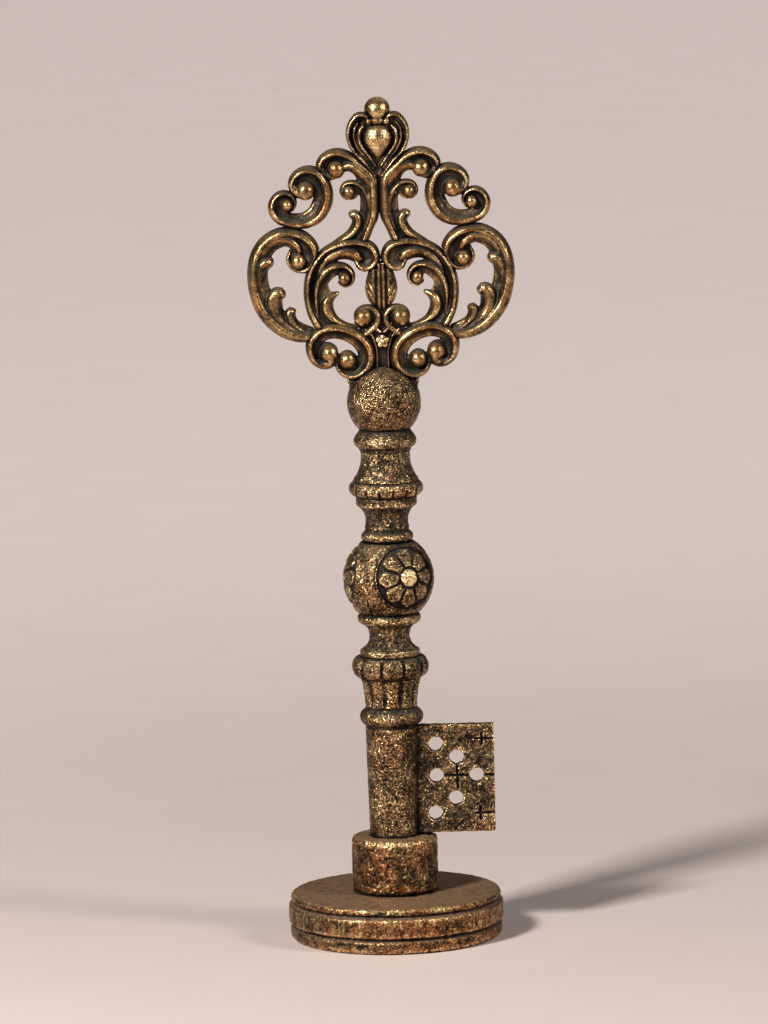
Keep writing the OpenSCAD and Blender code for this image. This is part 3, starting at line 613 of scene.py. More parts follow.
def seam_box(seam, side):
    """The block beyond a joint, less a small overlap that closes it to the eye."""
    x, z, angle, half = seam
    a = math.radians(angle)
    along = np.array([math.cos(a), math.sin(a)])
    across = np.array([-math.sin(a), math.cos(a)]) * side
    middle = np.array([x, z])
    near = [middle + way * along * half + across * JOINT_OVERLAP for way in (-1, 1)]
    far = [p + across * CUT_DEPTH for p in near[::-1]]
    return block_of((near + far)[::side])


def straight_box(x0, x1, z0, z1):
    return block_of([(x0, z0), (x1, z0), (x1, z1), (x0, z1)])


def lattice_noise(p, cell, seed):
    """Smooth random values from -1 to 1, on a lattice that is turned afresh for each seed."""
    turn = np.array(Matrix.Rotation(seed * 1.7, 3, Vector((1, seed % 3, 2)).normalized()))
    q = p @ turn.T / cell + seed * 7.31
    base = np.floor(q).astype(np.int64)
    f = q - base
    f = f * f * f * (f * (f * 6 - 15) + 10)
    total = np.zeros(len(p))
    for corner in range(8):
        step = np.array([corner & 1, corner >> 1 & 1, corner >> 2 & 1])
        n = (base + step) @ np.array([374761393, 668265263, 2147483647]) + seed * 974634777
        n = (n ^ (n >> 13)) * 1274126177
        n = n ^ (n >> 16)
        share = np.where(step == 1, f, 1 - f).prod(axis=1)
        total += share * ((n & 65535) / 32767.5 - 1)
    return total


def hammered(p):
    """The relief of the foot: pits and crinkles of one to four millimetres, about -1 to 1."""
    dents = np.abs(lattice_noise(p, 3.2, 1))
    crinkles = np.abs(lattice_noise(p, 1.9, 2))
    grains = lattice_noise(p, 1.1, 3)
    return 0.6 - 0.8 * dents - 0.9 * crinkles + 0.4 * grains


def stippled(p):
    """The relief of the stem: fine crinkles and grains, about -1 to 1."""
    dents = lattice_noise(p, 3.6, 6)
    crinkles = np.abs(lattice_noise(p, 1.7, 7))
    grains = lattice_noise(p, 1.0, 8)
    return 0.35 + 0.25 * dents - 0.9 * crinkles + 0.45 * grains


def cast_skin(p):
    """The faint unevenness of the smooth castings, about -1 to 1."""
    return 0.6 * lattice_noise(p, 3.0, 4) + 0.4 * lattice_noise(p, 1.4, 5)


all_parts = []


def finish_part(mesh, node, relief, amount, joints=(), z_joints=(), gilt=0.0):
    """Gives a mesh its relief and its readings of ridges, and puts it away to be made a piece."""
    co = positions(mesh)
    edges, degree = edges_of(mesh)
    normals = normals_of(mesh)
    height = relief(co)
    away = np.ones(len(co))
    for x, z, angle, half in joints:
        a = math.radians(angle)
        over = np.abs((co[:, 0] - x) * -math.sin(a) + (co[:, 2] - z) * math.cos(a))
        along = np.abs((co[:, 0] - x) * math.cos(a) + (co[:, 2] - z) * math.sin(a))
        away *= 1 - hump(over, JOINT_FADE) * (along < half + 1)
    for z in z_joints:
        away *= 1 - hump(co[:, 2] - z, LEVEL_FADE)
    ridge = np.zeros(len(co))
    smoothed = co.copy()
    done = 0
    for rounds, weight in RIDGE_READINGS:
        while done < rounds:
            smoothed += 0.7 * (neighbour_mean(smoothed, edges, degree) - smoothed)
            done += 1
        ridge += weight * ((co - smoothed) * normals).sum(axis=1)
    co += normals * (height * amount * (JOINT_RELIEF + (1 - JOINT_RELIEF) * away))[:, None]
    co = np.clip(co, np.array(cad_low) / MM, np.array(cad_high) / MM)
    set_positions(mesh, co)
    all_parts.append({
        "mesh": mesh, "node": node, "ridge": ridge * away, "grain": height, "gilt": np.zeros(len(co)) + gilt,
    })


def add_mirrored(part, node):
    """The left-hand twin of a part."""
    mesh = part["mesh"].copy()
    co = positions(mesh)
    co[:, 0] *= -1
    set_positions(mesh, co)
    mesh.flip_normals()
    all_parts.append(dict(part, mesh=mesh, node=node, twin_of=part))


def bow_casting(node, forms, cuts, boxes, cell, sides, gilt=0.0):
    """A casting of the bow. Each cut is a joint and the side of it that goes."""
    shape = Shape()
    for form in forms:
        form(shape)
    mesh = remeshed(shape.mesh(node), cell)
    for (x, z, angle, half), side in cuts:
        for s in sides:
            mesh = cut_box(mesh, seam_box([x * s, z, angle * s, half], side))
    for box in boxes:
        mesh = cut_box(mesh, straight_box(*box))
    set_positions(mesh, positions(mesh) + np.array([0, 0, BOW_Z]))
    joints = [[x * s, z + BOW_Z, angle * s, half] for (x, z, angle, half), side in cuts for s in sides]
    finish_part(mesh, node, cast_skin, BOW_RELIEF, joints, gilt=gilt)


def bow_pair(stem, forms, cuts, boxes=()):
    """A scroll of the bow and its mirrored twin."""
    bow_casting(stem + "_right", forms, cuts, boxes, BOW_CELL, (1,))
    add_mirrored(all_parts[-1], stem + "_left")


def bow_single(node, forms, cuts=(), boxes=(), cell=BOW_CELL, gilt=0.0):
    """A casting that stands across the middle of the bow."""
    bow_casting(node, forms, cuts, boxes, cell, (1, -1), gilt)


def swept(route, section=SCROLL, half_t=BOW_HALF_T, side=1):
    """A form for the lists below. Side 1 is on the right, and -1 on the left."""
    def form(shape):
        own = Shape()
        sweep(own, route, section, half_t)
        shape.add(own.points[0] * [side, 1, 1], [face[::side] for face in own.faces])
    return form


def both(route, section=SCROLL, half_t=BOW_HALF_T):
    return [swept(route, section, half_t, side) for side in (1, -1)]


def tongue(route):
    """A rounded ridge that runs from a scroll's rim onto its ball eye."""
    return swept(route, RIB, TONGUE_HALF_T)


def eyed(spot, ground, half_t=BOW_HALF_T):
    """A ball eye on the low ground that fills its curl."""
    def form(shape):
        eye(shape, spot, half_t)
        slab(shape, disc(*ground), GROUND_HALF_T)
    return form


def plated(outline, half_t=GROUND_HALF_T):
    return lambda shape: slab(shape, outline, half_t)


def egg(centre, radii):
    return lambda shape: ball(shape, centre, radii)


def bud_depth(x, z):
    """Half the bud's thickness: two ribs up the middle, and a leaf with slanting cuts at each side."""
    side = np.abs(x)
    width = from_table(z, BUD_OUTLINE)
    egg_depth = BUD_HALF_T * np.sqrt(np.clip(1 - (side / width) ** 2, 0, 1)) ** 0.8 * smooth_step(z, 45, 64)
    relief = -1.5 * hump(side, 0.45) - 1.7 * hump(side - 2.9, 0.6)
    relief += 0.5 * hump(side - 5.4, 1.9)
    slant = z - 1.2 * (side - 3)
    for cut in BUD_CUTS:
        relief -= 1.1 * hump(slant - cut, 0.5) * smooth_step(side, 2.8, 3.6)
    return np.maximum(egg_depth + relief * smooth_step(egg_depth, 0.5, 3.5), 0.3)


def bud(shape):
    shares = np.sin(np.linspace(-math.pi / 2, math.pi / 2, 56))
    rings = []
    for z in np.linspace(BUD_OUTLINE[0][0], BUD_OUTLINE[-1][0], 84):
        x = shares * from_table(z, BUD_OUTLINE)
        depth = bud_depth(x, np.full_like(x, z))
        rings.append(np.vstack([ring_of(x, -depth, z), ring_of(x, depth, z)[::-1]]))
    shape.add_rings(rings)


def cabochon(shape):
    """A drop-shaped boss, a little wider from side to side."""
    b = full_turn(96)
    rings = []
    for u, v in CABOCHON_PROFILE:
        r = u * CABOCHON_R
        rings.append(ring_of(r * CABOCHON_WIDE * np.cos(b), r * np.sin(b), v * CABOCHON_R + CABOCHON_Z))
    shape.add_rings(rings)


def make_scrolls():
    bow_pair("root_scroll", [
        swept(ROOT_ROUTE), tongue(ROOT_TONGUE_ROUTE), *[eyed(e, g) for e, g in zip(ROOT_EYES, ROOT_GROUNDS)],
    ], [(OUTER_ON_ROOT, 1), (INNER_ON_ROOT, 1), (HEART_ON_ROOT, 1)], ROOT_BOXES)
    bow_pair("heart_volute", [
        swept(HEART_ROUTE, LEAF, 7), tongue(HEART_TONGUE_ROUTE), eyed(HEART_EYE, HEART_GROUND, 7.5),
        plated(HEART_PLATE),
    ], [(HEART_ON_ROOT, -1)])
    bow_pair("inner_scroll", [
        swept(INNER_ROUTE), swept(INNER_TIP_ROUTE, LEAF, 7), swept(TENDRIL_ROUTE, half_t=7),
        swept(THORN_ROUTE, LEAF, 6.5), eyed(TENDRIL_EYE, TENDRIL_GROUND, 7),
        plated(THORN_PLATE), plated(disc(*HOOK_GROUND)), plated(BUD_TOP_PLATE),
    ], [(INNER_ON_ROOT, -1), (STEM_ON_INNER, 1), (LEAF_ON_INNER, 1), (OUTER_BY_INNER, 1), (BUD_ON_INNER, -1)])
    bow_pair("leaf_stem", [
        swept(STEM_ROUTE), tongue(SHOULDER_TONGUE_ROUTE), swept(VOLUTE_ROUTE, half_t=7),
        swept(STEM_TIP_ROUTE, LEAF, 7.4), swept(STEM_MID_ROUTE, LEAF, 7.4), swept(STEM_LEAF_ROUTE, LEAF, 7.4),
        eyed(SHOULDER_EYE, SHOULDER_GROUND), eyed(VOLUTE_EYE, VOLUTE_GROUND, 7), plated(STEM_PLATE),
    ], [(STEM_ON_INNER, -1), (LEAF_ON_INNER, -1), (EAR_BY_STEM, -1), (CREST_ON_STEM, 1)])
    bow_pair("outer_scroll", [
        swept(OUTER_ROUTE), swept(OUTER_TOP_ROUTE, LEAF, 7.6), swept(OUTER_BUD_ROUTE, LEAF, 8),
        swept(OUTER_LEAF_ROUTE, LEAF, 7), swept(OUTER_LOBE_ROUTE, LEAF, 7), eyed(OUTER_EYE, OUTER_GROUND),
    ], [(EAR_ON_OUTER, 1), (OUTER_BY_INNER, -1), (OUTER_ON_ROOT, -1)])
    bow_pair("ear_scroll", [
        swept(EAR_ROUTE), tongue(EAR_TONGUE_ROUTE), *[eyed(e, g) for e, g in zip(EAR_EYES, EAR_GROUNDS)],
    ], [(EAR_ON_OUTER, -1), (EAR_BY_STEM, 1)])


def make_middle():
    """The bud, the crest, the web with its flowers, the boss and ball in the middle of the bow."""
    bow_single("calyx_bud", [bud], [(BUD_ON_INNER, 1)], BUD_BOXES, BUD_CELL)
    rims = both(CREST_RIM_ROUTE, RIB, 12.5) + both(CREST_MIDDLE_ROUTE, RIB, 10)
    rims += both(CREST_LINER_ROUTE, RIB, 11.5)
    x, y, z, r = CREST_BEAD
    beads = [egg((x * s, y * t, z), (r, r, r)) for s in (-1, 1) for t in (-1, 1)]
    outlines = [disc(0, CABOCHON_Z, CREST_DISC_R), *CREST_PLATES]
    plates = [plated(outline, 3) for outline in outlines]
    bow_single("crest", [*both(CREST_ROUTE, half_t=5.4), *rims, *beads, egg(*CREST_TIP), *plates],
               [(CREST_ON_STEM, -1)], cell=CREST_CELL)
    web = ROOT_WEB + [(-x, z) for x, z in reversed(ROOT_WEB)]
    bow_single("bow_root", [
        plated(web, 2.2), plated(disc(0, ROOT_FLOWER_Z, 3.5), 4),
        *both(NECK_RIB_ROUTE, RIB, 8.8), *both(CHEVRON_ROUTE, RIB, 8),
    ], cell=CREST_CELL)
    for node, side in (("root_flower_front", -1), ("root_flower_back", 1)):
        petals = [egg((0, 5.2 * side, ROOT_FLOWER_Z), (1.3, 1.3, 1.3))]
        for i in range(5):
            a = math.radians(90 + 72 * i)
            spot = (2.5 * math.cos(a), 4.8 * side, ROOT_FLOWER_Z + 2.5 * math.sin(a))
            petals.append(egg(spot, (1.55, 1.1, 1.55)))
        bow_single(node, petals, gilt=0.4)
    bow_single("cabochon", [cabochon], gilt=0.4)
    bow_single("finial_ball", [egg((0, 0, FINIAL_Z), (FINIAL_R,) * 3)], gilt=0.15)


def grooves(co, angles, half_w):
    """1 in the middle of upright grooves at these angles about the axis, and 0 away from them."""
    around = np.arctan2(co[:, 1], co[:, 0])
    depth = np.zeros(len(co))
    for angle in np.radians(angles):
        off = (around - angle + math.pi) % (2 * math.pi) - math.pi
        depth = np.maximum(depth, hump(off * np.hypot(co[:, 0], co[:, 1]), half_w))
    return depth


def carve_flutes(co):
    """Flutes in the cup, below the collar of lobes: wide at the top and narrow at the foot."""
    angles = LOBE_TURN - 90 + (np.arange(LOBES) + 0.5) * 360 / LOBES
    half_w = 0.9 + 2.3 * smooth_step(co[:, 2], 138, 153)
    return 1.5 * grooves(co, angles, half_w) * smooth_step(co[:, 2], 137.5, 141)


def carve_notches(co):
    """Notches in the lower edge of the beaded collar."""
    depth = grooves(co, (np.arange(NOTCHES) + 0.5) * 360 / NOTCHES, 0.6)
    return 1.3 * depth * smooth_step(co[:, 2], 268, 265) * (np.hypot(co[:, 0], co[:, 1]) > 18)


def carve_knop(co):
    """Cuts like leaf veins in the lower corners between the flowers."""
    cuts = []
    for step, half_w, top in ((0, 0.5, 207), (-9, 0.45, 202), (9, 0.45, 202)):
        cut = grooves(co, np.array(KNOP_CORNERS) + step - 90, half_w)
        cuts.append(cut * smooth_step(co[:, 2], top, top - 5))
    return 0.9 * np.max(cuts, axis=0)


def reshape_foot(co):
    """A thin upper rim, a full middle one and a low face, as the casting has them."""
    rim = smooth_step(np.hypot(co[:, 0], co[:, 1]), FOOT_FACE_R, FOOT_RIM_R)
    co[:, 2] = rim * from_table(co[:, 2], RIM_HEIGHTS) + (1 - rim) * from_table(co[:, 2], FACE_HEIGHTS)
    return co


def reshape_collar(co):
    co[:, 2] = from_table(co[:, 2], COLLAR_HEIGHTS)
    return co


def reshape_bit(co):
    """The inner edge of the bit meets the shank."""
    co[:, 0] -= BIT_REACH * smooth_step(co[:, 0], BIT_EDGE_X + 0.6, BIT_EDGE_X - 0.6)
    return co


def pillows(shape):
    """The lobes of the lobed collar: a swollen ring cut by narrow seams."""
    sector = 2 * math.pi / LOBES
    start = math.radians(LOBE_TURN - 90) + sector / 2
    u = np.linspace(-math.pi / 2, math.pi / 2, 25)
    rings = []
    for angle in np.linspace(start, start + 2 * math.pi, 40 * LOBES + 1):
        off = (angle - start) % sector
        off = min(off, sector - off) * LOBE_R
        reach = LOBE_R - 2.4 * hump(off, 0.6) - 0.8 * hump(off, 2.6)
        half_h = LOBE_HALF_H - 1.3 * hump(off, 1.7)
        r = LOBE_ROOT_R + (reach - LOBE_ROOT_R) * np.cos(u) ** 0.55
        z = LOBE_Z + half_h * np.sin(u)
        r = np.concatenate([r, [LOBE_CORE_R, LOBE_CORE_R]])
        z = np.concatenate([z, [LOBE_Z + half_h, LOBE_Z - half_h]])
        rings.append(ring_of(r * math.cos(angle), r * math.sin(angle), z))
    shape.add_rings(rings[::-1])


def saddle(shape):
    b = full_turn(64)
    shape.add_rings([ring_of(w * np.cos(b), t * np.sin(b), z + BOW_Z) for z, w, t in SADDLE])


def from_solid(node, cell, relief, amount, z_joints=(), carve=None, reshape=None, extra=None):
    """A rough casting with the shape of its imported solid."""
    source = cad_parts[node].data
    shape = Shape()
    shape.add(positions(source) / MM, [tuple(face.vertices) for face in source.polygons])
    if extra:
        extra(shape)
    mesh = remeshed(shape.mesh(node), cell)
    if reshape:
        set_positions(mesh, reshape(positions(mesh)))
    if carve:
        co = positions(mesh)
        r = np.hypot(co[:, 0], co[:, 1])
        outward = ring_of(co[:, 0], co[:, 1], 0.0) / np.maximum(r, 1)[:, None]
        set_positions(mesh, co - outward * (carve(co) * (r > BORE_KEEP_R))[:, None])
    finish_part(mesh, node, relief, amount, z_joints=z_joints, gilt=GILT.get(node, 0))


def petal_relief(rho, angle):
    """How far the face of a rosette stands below the ball: puffed petals, a domed hub and a flat rim."""
    sector = 2 * math.pi / PETALS
    turn = (angle + sector / 2) % sector - sector / 2
    side = rho * np.sin(np.abs(turn))
    along = rho * np.cos(turn)
    half_w = along * math.tan(sector / 2) - PETAL_GAP
    end_x = along - (PETAL_END_R - PETAL_ROUND_R)
    end_gap = PETAL_ROUND_R - np.sqrt(np.maximum(end_x, 0) ** 2 + side ** 2)
    inside = np.where(end_x > 0, np.minimum(half_w - side, end_gap), half_w - side)
    inside = np.minimum(inside, rho - PETAL_FOOT_R)
    petal = -PETAL_DEPTH + 1.6 * np.sqrt(np.clip(inside / 1.1, 0, 1)) - 0.25 * smooth_step(rho, 8, 16)
    hub = -PETAL_DEPTH + 1.6 * np.sqrt(np.clip((HUB_R - rho) / 1.2, 0, 1))
    rim = -PETAL_DEPTH + 1.5 * smooth_step(rho, 18, 18.5) - 0.9 * smooth_step(rho, 18.9, ROSETTE_R)
    return np.maximum(np.maximum(petal, hub), rim)


def make_rosette(name, turn):
    """A carved flower: a disc whose face follows the ball of the knop, gilded on petals and hub."""
    rings = []
    gilt = []
    around = full_turn(420)
    face_radii = np.linspace(0.15, ROSETTE_R, 66)
    back_radii = [ROSETTE_R, 10, 0.2]
    for rho in [*face_radii, *back_radii]:
        cut = petal_relief(np.full_like(around, rho), around)
        if len(rings) < len(face_radii):
            height = np.sqrt(KNOP_R ** 2 - rho ** 2) + cut
        else:
            height = math.sqrt((KNOP_R - ROSETTE_T) ** 2 - rho ** 2)
        rings.append(ring_of(rho * np.cos(around), rho * np.sin(around), height))
        hub_gilt = 0.5 if rho < HUB_R - 0.1 else 0
        rim_gilt = -0.4 if rho > 17.6 else 0
        gilt.append(0.75 * smooth_step(cut, -1.6, -0.7) - 0.65 + hub_gilt + rim_gilt)
    flat = Shape()
    flat.add_rings(rings)
    tip = Matrix.Rotation(math.pi / 2 - ROSETTE_TILT, 3, "X")
    spin = Matrix.Rotation(math.radians(turn), 3, "Z")
    points = flat.points[0] @ np.array(spin @ tip).T + np.array([0, 0, KNOP_MID_Z])
    turned = Shape()
    turned.add(points, [face[::-1] for face in flat.faces])
    finish_part(turned.mesh(name), "rosette_" + name, stippled, ROSETTE_RELIEF, gilt=np.concatenate(gilt))


def make_stem():
    carvings = {"fluted_cup": carve_flutes, "flower_knop": carve_knop, "beaded_collar": carve_notches}
    extras = {"lobed_collar": pillows, "bow_ball": saddle}
    for node, levels in STEM_JOINTS.items():
        from_solid(node, STEM_CELL, stippled, STEM_RELIEF, levels, carvings.get(node), extra=extras.get(node))
        if node == "flower_knop":
            all_parts[-1]["ridge"] *= KNOP_RIDGE_SHARE
    from_solid("bit_plate", BIT_CELL, hammered, 0.45, reshape=reshape_bit)
    from_solid("socket_collar", STEM_CELL, hammered, 0.65, (COLLAR_JOINT_Z,), reshape=reshape_collar)
    from_solid("base_disc", FOOT_CELL, hammered, 0.3, reshape=reshape_foot)
    for name, turn in ROSETTE_TURNS.items():
        make_rosette(name, turn)


def sky_rays():
    """Directions spread over the sky above a point, with the weight of each."""
    rays = []
    for count, height in ((1, 1.0), (4, 0.75), (5, 0.3)):
        for i in range(count):
            a = 2 * math.pi * i / count + height
            flat = math.sqrt(1 - height * height)
            rays.append((flat * math.cos(a), flat * math.sin(a), height, 0.4 + 0.6 * height))
    return rays


def shade_parts():
    """How much of the sky each point loses to what stands near it, from 0 to 1."""
    points = []
    faces = []
    for part in all_parts:
        count = len(points)
        points.extend(positions(part["mesh"]).tolist())
        faces.extend([[v + count for v in face.vertices] for face in part["mesh"].polygons])
    tree = BVHTree.FromPolygons(points, faces)
    rays = sky_rays()
    whole = np.array([ray[3] for ray in rays]).sum()
    for part in all_parts:
        if "twin_of" in part:
            part["shade"] = part["twin_of"]["shade"]
            continue
        n = normals_of(part["mesh"])
        helper = np.where(np.abs(n[:, 2:3]) < 0.8, [[0, 0, 1.0]], [[1.0, 0, 0]])
        side = np.cross(n, helper)
        side /= np.maximum(np.linalg.norm(side, axis=1), 1e-9)[:, None]
        other = np.cross(n, side)
        start = (positions(part["mesh"]) + n * SHADE_START).tolist()
        lost = np.zeros(len(start))
        for x, y, z, weight in rays:
            way = (side * x + other * y + n * z).tolist()
            for i, (p, d) in enumerate(zip(start, way)):
                hit = tree.ray_cast(p, d, SHADE_REACH)[3]
                if hit is not None:
                    lost[i] += weight * (1 - hit / SHADE_REACH)
        part["shade"] = lost / whole


class Finish:
    """A procedural material, with short words for its nodes."""

    def __init__(self, name):
        self.material = bpy.data.materials.new(name)
        self.material.use_nodes = True
        self.tree = self.material.node_tree
        self.tree.nodes.clear()
        self.spot = self.node("ShaderNodeTexCoord").outputs["Object"]

    def node(self, kind, **settings):
        made = self.tree.nodes.new(kind)
        for key, value in settings.items():
            setattr(made, key, value)
        return made

    def put(self, socket, value):
        if isinstance(value, bpy.types.NodeSocket):
            self.tree.links.new(value, socket)
        else:
            socket.default_value = value

    def fill(self, node, **inputs):
        for key, value in inputs.items():
            self.put(node.inputs[key.replace("_", " ")], value)

    def math(self, operation, a, b):
        made = self.node("ShaderNodeMath", operation=operation)
        self.put(made.inputs[0], a)
        self.put(made.inputs[1], b)
        return made.outputs[0]

    def times(self, a, b):
        return self.math("MULTIPLY", a, b)

    def total(self, first, *others):
        for value in others:
            first = self.math("ADD", first, value)
        return first

    def swing(self, noise, amount):
        """A noise about zero, with this much between its ends."""
        return self.times(self.math("SUBTRACT", noise, 0.5), amount)

    def noise(self, scale, detail=3.0, rough=0.55):
        made = self.node("ShaderNodeTexNoise")
        self.fill(made, Vector=self.spot, Scale=scale, Detail=detail, Roughness=rough)
        return made.outputs["Fac"]

    def attribute(self, name):
        return self.node("ShaderNodeAttribute", attribute_name=name).outputs["Fac"]

    def ramp(self, value, low, high, start=0.0, end=1.0):
        made = self.node("ShaderNodeMapRange", interpolation_type="SMOOTHSTEP")
        self.fill(made, Value=value, From_Min=low, From_Max=high, To_Min=start, To_Max=end)
        return made.outputs[0]

    def mix(self, share, a, b):
        made = self.node("ShaderNodeMix", data_type="RGBA")
        self.put(made.inputs[0], share)
        for socket, value in ((made.inputs[6], a), (made.inputs[7], b)):
            self.put(socket, (*value, 1) if isinstance(value, tuple) else value)
        return made.outputs[2]

    def bump(self, height, strength, distance):
        made = self.node("ShaderNodeBump")
        self.fill(made, Height=height, Strength=strength, Distance=distance)
        return made.outputs[0]

    def done(self, **inputs):
        shader = self.node("ShaderNodeBsdfPrincipled")
        self.fill(shader, **inputs)
        out = self.node("ShaderNodeOutputMaterial")
        self.tree.links.new(shader.outputs[0], out.inputs[0])
        return self.material


def gilded(name, grain_share, gold_level, copper, roughness, texture, ground, dust_and_top_light, painted_shade_share):
    """Antique gold over a dark ground: worn bright on ridges and grains, with less gold and painted shade,
    near-black, where the shade reading is high and in pits. It also paints light: paler on faces turned up,
    and more copper, a painted warm reflection of the floor, on faces turned down.
    """
    f = Finish(name)
    shade = f.attribute("shade")
    grain = f.attribute("grain")
    upward = f.attribute("upward")
    fine = f.noise(850, 3.0, 0.6)
    speck = f.noise(1500, 2.0, 0.6)
    patch = f.noise(120, 3.0)
    broad = f.noise(45, 2.0)
    # Wear on ridges and grains, less gold where the shade reading is high: partly patina kept in hollows,
    # partly painted shade
    wear_and_shade = f.total(
        f.times(f.attribute("ridge"), 0.4), f.times(grain, grain_share), f.times(shade, -1.5),
        f.swing(fine, 1.4 + 1.2 * texture), f.swing(speck, 1.8 * texture), f.swing(patch, 2.2 - 1.2 * texture),
        f.math("ADD", f.attribute("gilt"), gold_level),
    )
    worn_and_unshaded = f.ramp(wear_and_shade, -0.25, 0.45 - 0.1 * texture)
    bright = f.ramp(wear_and_shade, 0.35 - 0.15 * texture, 1.1 - 0.4 * texture)
    copper_from = 0.6 - copper * 0.15
    # Copper in random broad patches, and more on faces turned down: a painted warm reflection of the floor
    copper_and_bounce_share = f.ramp(f.total(broad, f.times(upward, -0.14)), copper_from, copper_from + 0.15, 0.0, copper)
    dark = f.mix(f.ramp(patch, 0.35, 0.65), tuple(0.35 * v for v in ground), ground)
    # Paler on faces turned up: partly dust, partly painted light from above
    dark = f.mix(f.ramp(upward, 0.3, 0.95, 0.0, 0.6), dark, dust_and_top_light)
    # Pits near-black: partly dark ground left in them, partly painted shade
    dark = f.mix(f.ramp(grain, 0.1, -0.5, 0.0, 0.7 * texture), dark, PIT_BLACK_AND_SHADE)
    metal = f.mix(copper_and_bounce_share, DULL_GOLD, COPPER_AND_FLOOR_BOUNCE)
    metal = f.mix(bright, metal, PALE_GOLD)
    colour = f.mix(worn_and_unshaded, dark, metal)
    # Painted shade: near-black where the shade reading says the sky is hidden
    colour = f.mix(f.ramp(shade, 0.1, 0.6, 0.0, painted_shade_share), colour, PAINTED_SHADE_BLACK)
    rough = f.total(f.ramp(worn_and_unshaded, 0, 1, 0.36, roughness), f.times(fine, 0.14))
    height = f.total(fine, f.times(speck, 0.5))
    # Less metal on faces turned up so the paler film shows: partly dust, partly painted light from above
    dust_and_top_light_film = f.ramp(upward, 0.3, 0.95, 0.0, 0.3)
    return f.done(
        Base_Color=colour, Specular_IOR_Level=0.15, Roughness=rough,
        Metallic=f.math("SUBTRACT", f.ramp(worn_and_unshaded, 0.0, 0.8, 0.75, 1.0), dust_and_top_light_film),
        Normal=f.bump(height, 0.25 + 0.5 * texture, 0.0003 + 0.0006 * texture),
    )


def plain_finish(name, dark, light, scale, roughness, metallic=0.0):
    """An even material with a little mottling and grain."""
    f = Finish(name)
    mottle = f.noise(scale, 4.0)
    return f.done(
        Base_Color=f.mix(mottle, dark, light), Metallic=metallic,
        Roughness=f.ramp(mottle, 0.3, 0.7, roughness - 0.08, roughness + 0.08),
        Normal=f.bump(mottle, 0.3, 0.0002),
    )


def make_piece(part):
    node = part["node"]
    mesh = part["mesh"]
    readings = {
        "ridge": np.clip(part["ridge"], -1, 1.2), "shade": part["shade"], "grain": part["grain"],
        "gilt": part["gilt"], "upward": normals_of(mesh)[:, 2],
    }
    for name, values in readings.items():
        attribute = mesh.attributes.new(name, "FLOAT", "POINT")
        attribute.data.foreach_set("value", np.asarray(values, np.float32))
    set_positions(mesh, positions(mesh) * MM)
    mesh.shade_smooth()
    piece = linked(node + "_cast", mesh)
    mesh.materials.clear()
    if node in FOOT_NODES:
        mesh.materials.append(foot_gold)
    elif node in STEM_NODES:
        mesh.materials.append(stem_gold)
    else:
        mesh.materials.append(bow_gold)
    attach(piece, "root")
    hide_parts(node)


def dress_hidden():
    """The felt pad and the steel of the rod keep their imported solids."""
    steel = plain_finish("zinc_steel", (0.42, 0.43, 0.45), (0.62, 0.63, 0.65), 300, 0.35, 1.0)
    felt = plain_finish("dark_felt", (0.02, 0.018, 0.016), (0.06, 0.055, 0.05), 1600, 0.9)
    for node, material in (("base_pad", felt), ("tie_rod", steel), ("rod_washer", steel), ("rod_nut", steel)):
        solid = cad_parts[node]
        solid.data.materials.clear()
        solid.data.materials.append(material)


def make_stage():
    """A wide floor that shows as pale far off as it is near the key, and takes the key's shadow."""
    mesh = bpy.data.meshes.new("floor")
    points = [(FLOOR_R * math.cos(a), FLOOR_R * math.sin(a), 0) for a in full_turn(96)]
    mesh.from_pydata(points, [], [tuple(range(len(points)))])
    f = Finish("pale_paint")
    paint = f.mix(f.noise(14, 2.0), (0.66, 0.56, 0.52), (0.69, 0.59, 0.55))
    away = f.node("ShaderNodeVectorMath", operation="DISTANCE")
    f.put(away.inputs[0], f.spot)
    away.inputs[1].default_value = LIT_MIDDLE
    far = f.math("POWER", away.outputs["Value"], 4)
    share = f.math("DIVIDE", far, f.math("ADD", far, LIT_FALL))
    rays = f.node("ShaderNodeLightPath").outputs
    seen = f.math("MAXIMUM", rays["Is Camera Ray"], rays["Is Glossy Ray"])
    seen = f.math("MAXIMUM", seen, rays["Is Transmission Ray"])
    glow = f.times(f.times(seen, FAR_GLOW), share)
    mesh.materials.append(f.done(
        Base_Color=paint, Roughness=0.6, Emission_Color=paint, Emission_Strength=glow,
    ))
    floor = linked("floor", mesh)


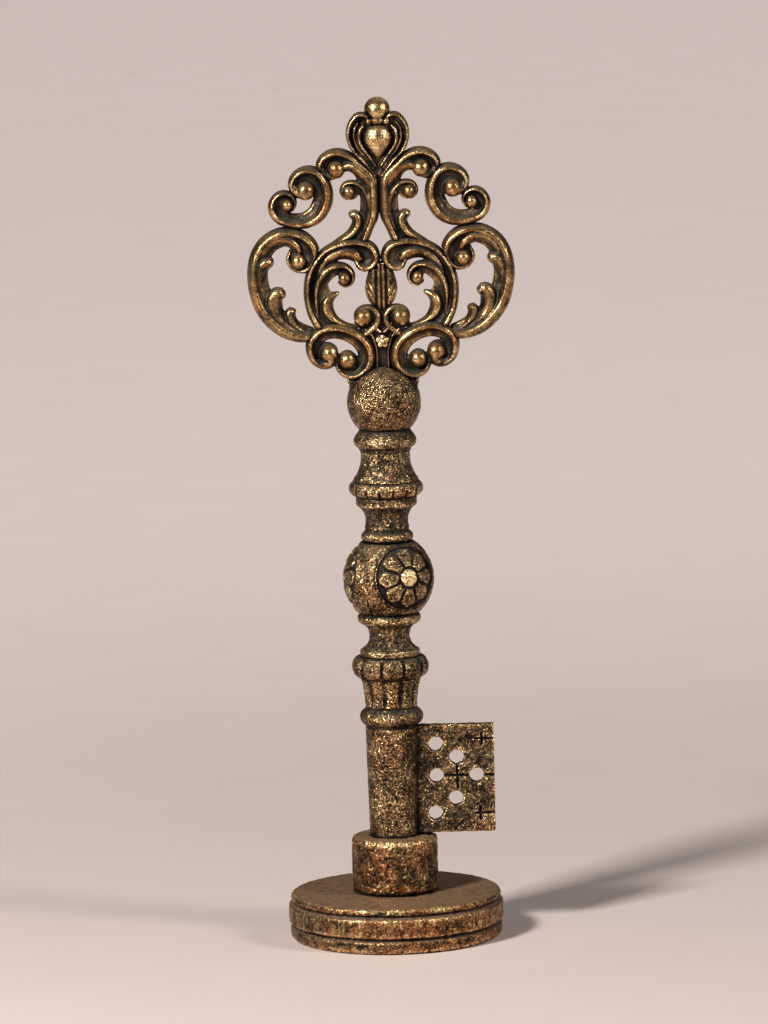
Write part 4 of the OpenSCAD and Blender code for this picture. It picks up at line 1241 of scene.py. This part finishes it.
def add_lamp(name, azimuth, elevation, distance, size, power, colour):
    """A soft lamp aimed at the key. Azimuth 0 is from the front, and 90 from the right."""
    a = math.radians(azimuth)
    e = math.radians(elevation)
    data = bpy.data.lights.new(name, "AREA")
    data.shape = "RECTANGLE"
    data.size, data.size_y = size
    data.energy = power
    data.color = colour
    lamp = linked(name, data)
    way = Vector((math.sin(a) * math.cos(e), -math.cos(a) * math.cos(e), math.sin(e)))
    lamp.location = Vector(LAMP_TARGET) + way * distance
    lamp.rotation_mode = "QUATERNION"
    lamp.rotation_quaternion = way.to_track_quat("Z", "Y")


def make_view():
    scene = bpy.context.scene
    scene.view_settings.view_transform = "Standard"
    world = bpy.data.worlds.new("room")
    world.use_nodes = True
    background = world.node_tree.nodes["Background"]
    background.inputs["Color"].default_value = (0.95, 0.86, 0.82, 1)
    background.inputs["Strength"].default_value = ROOM_LIGHT
    scene.world = world
    data = bpy.data.cameras.new("camera")
    data.sensor_width = 36
    data.lens = FOCAL_SHARE * data.sensor_width
    data.clip_end = 100
    camera = linked("camera", data)
    place = Vector(CAMERA_PLACE)
    turn = (Vector(CAMERA_TARGET) - place).to_track_quat("-Z", "Y")
    camera.rotation_mode = "QUATERNION"
    camera.rotation_quaternion = turn @ Matrix.Rotation(CAMERA_ROLL, 3, "Z").to_quaternion()
    camera.location = place
    scene.camera = camera


make_scrolls()
make_middle()
make_stem()
shade_parts()

bow_gold = gilded(
    "bow_gold", grain_share=0.15, gold_level=0.04, copper=0.6, roughness=0.2, texture=0.3,
    ground=(0.066, 0.058, 0.046), dust_and_top_light=(0.11, 0.1, 0.085), painted_shade_share=0.7,
)
stem_gold = gilded(
    "stem_gold", grain_share=0.28, gold_level=-0.12, copper=0.7, roughness=0.12, texture=1.0,
    ground=(0.044, 0.04, 0.033), dust_and_top_light=(0.09, 0.083, 0.07), painted_shade_share=0.85,
)
# The foot's faces turned up are painted much paler: partly dust, partly painted light from above
foot_gold = gilded(
    "foot_gold", grain_share=0.35, gold_level=-0.12, copper=1.3, roughness=0.2, texture=0.7,
    ground=(0.05, 0.045, 0.037), dust_and_top_light=(0.5, 0.3, 0.18), painted_shade_share=0.8,
)
for part in all_parts:
    make_piece(part)
dress_hidden()

make_stage()
add_lamp("key_lamp", -40, 33, 2.2, (0.36, 0.36), 70, (1, 0.97, 0.93))
add_lamp("right_lamp", 60, 30, 2.4, (0.5, 1), 27, (1, 0.96, 0.92))
make_view()
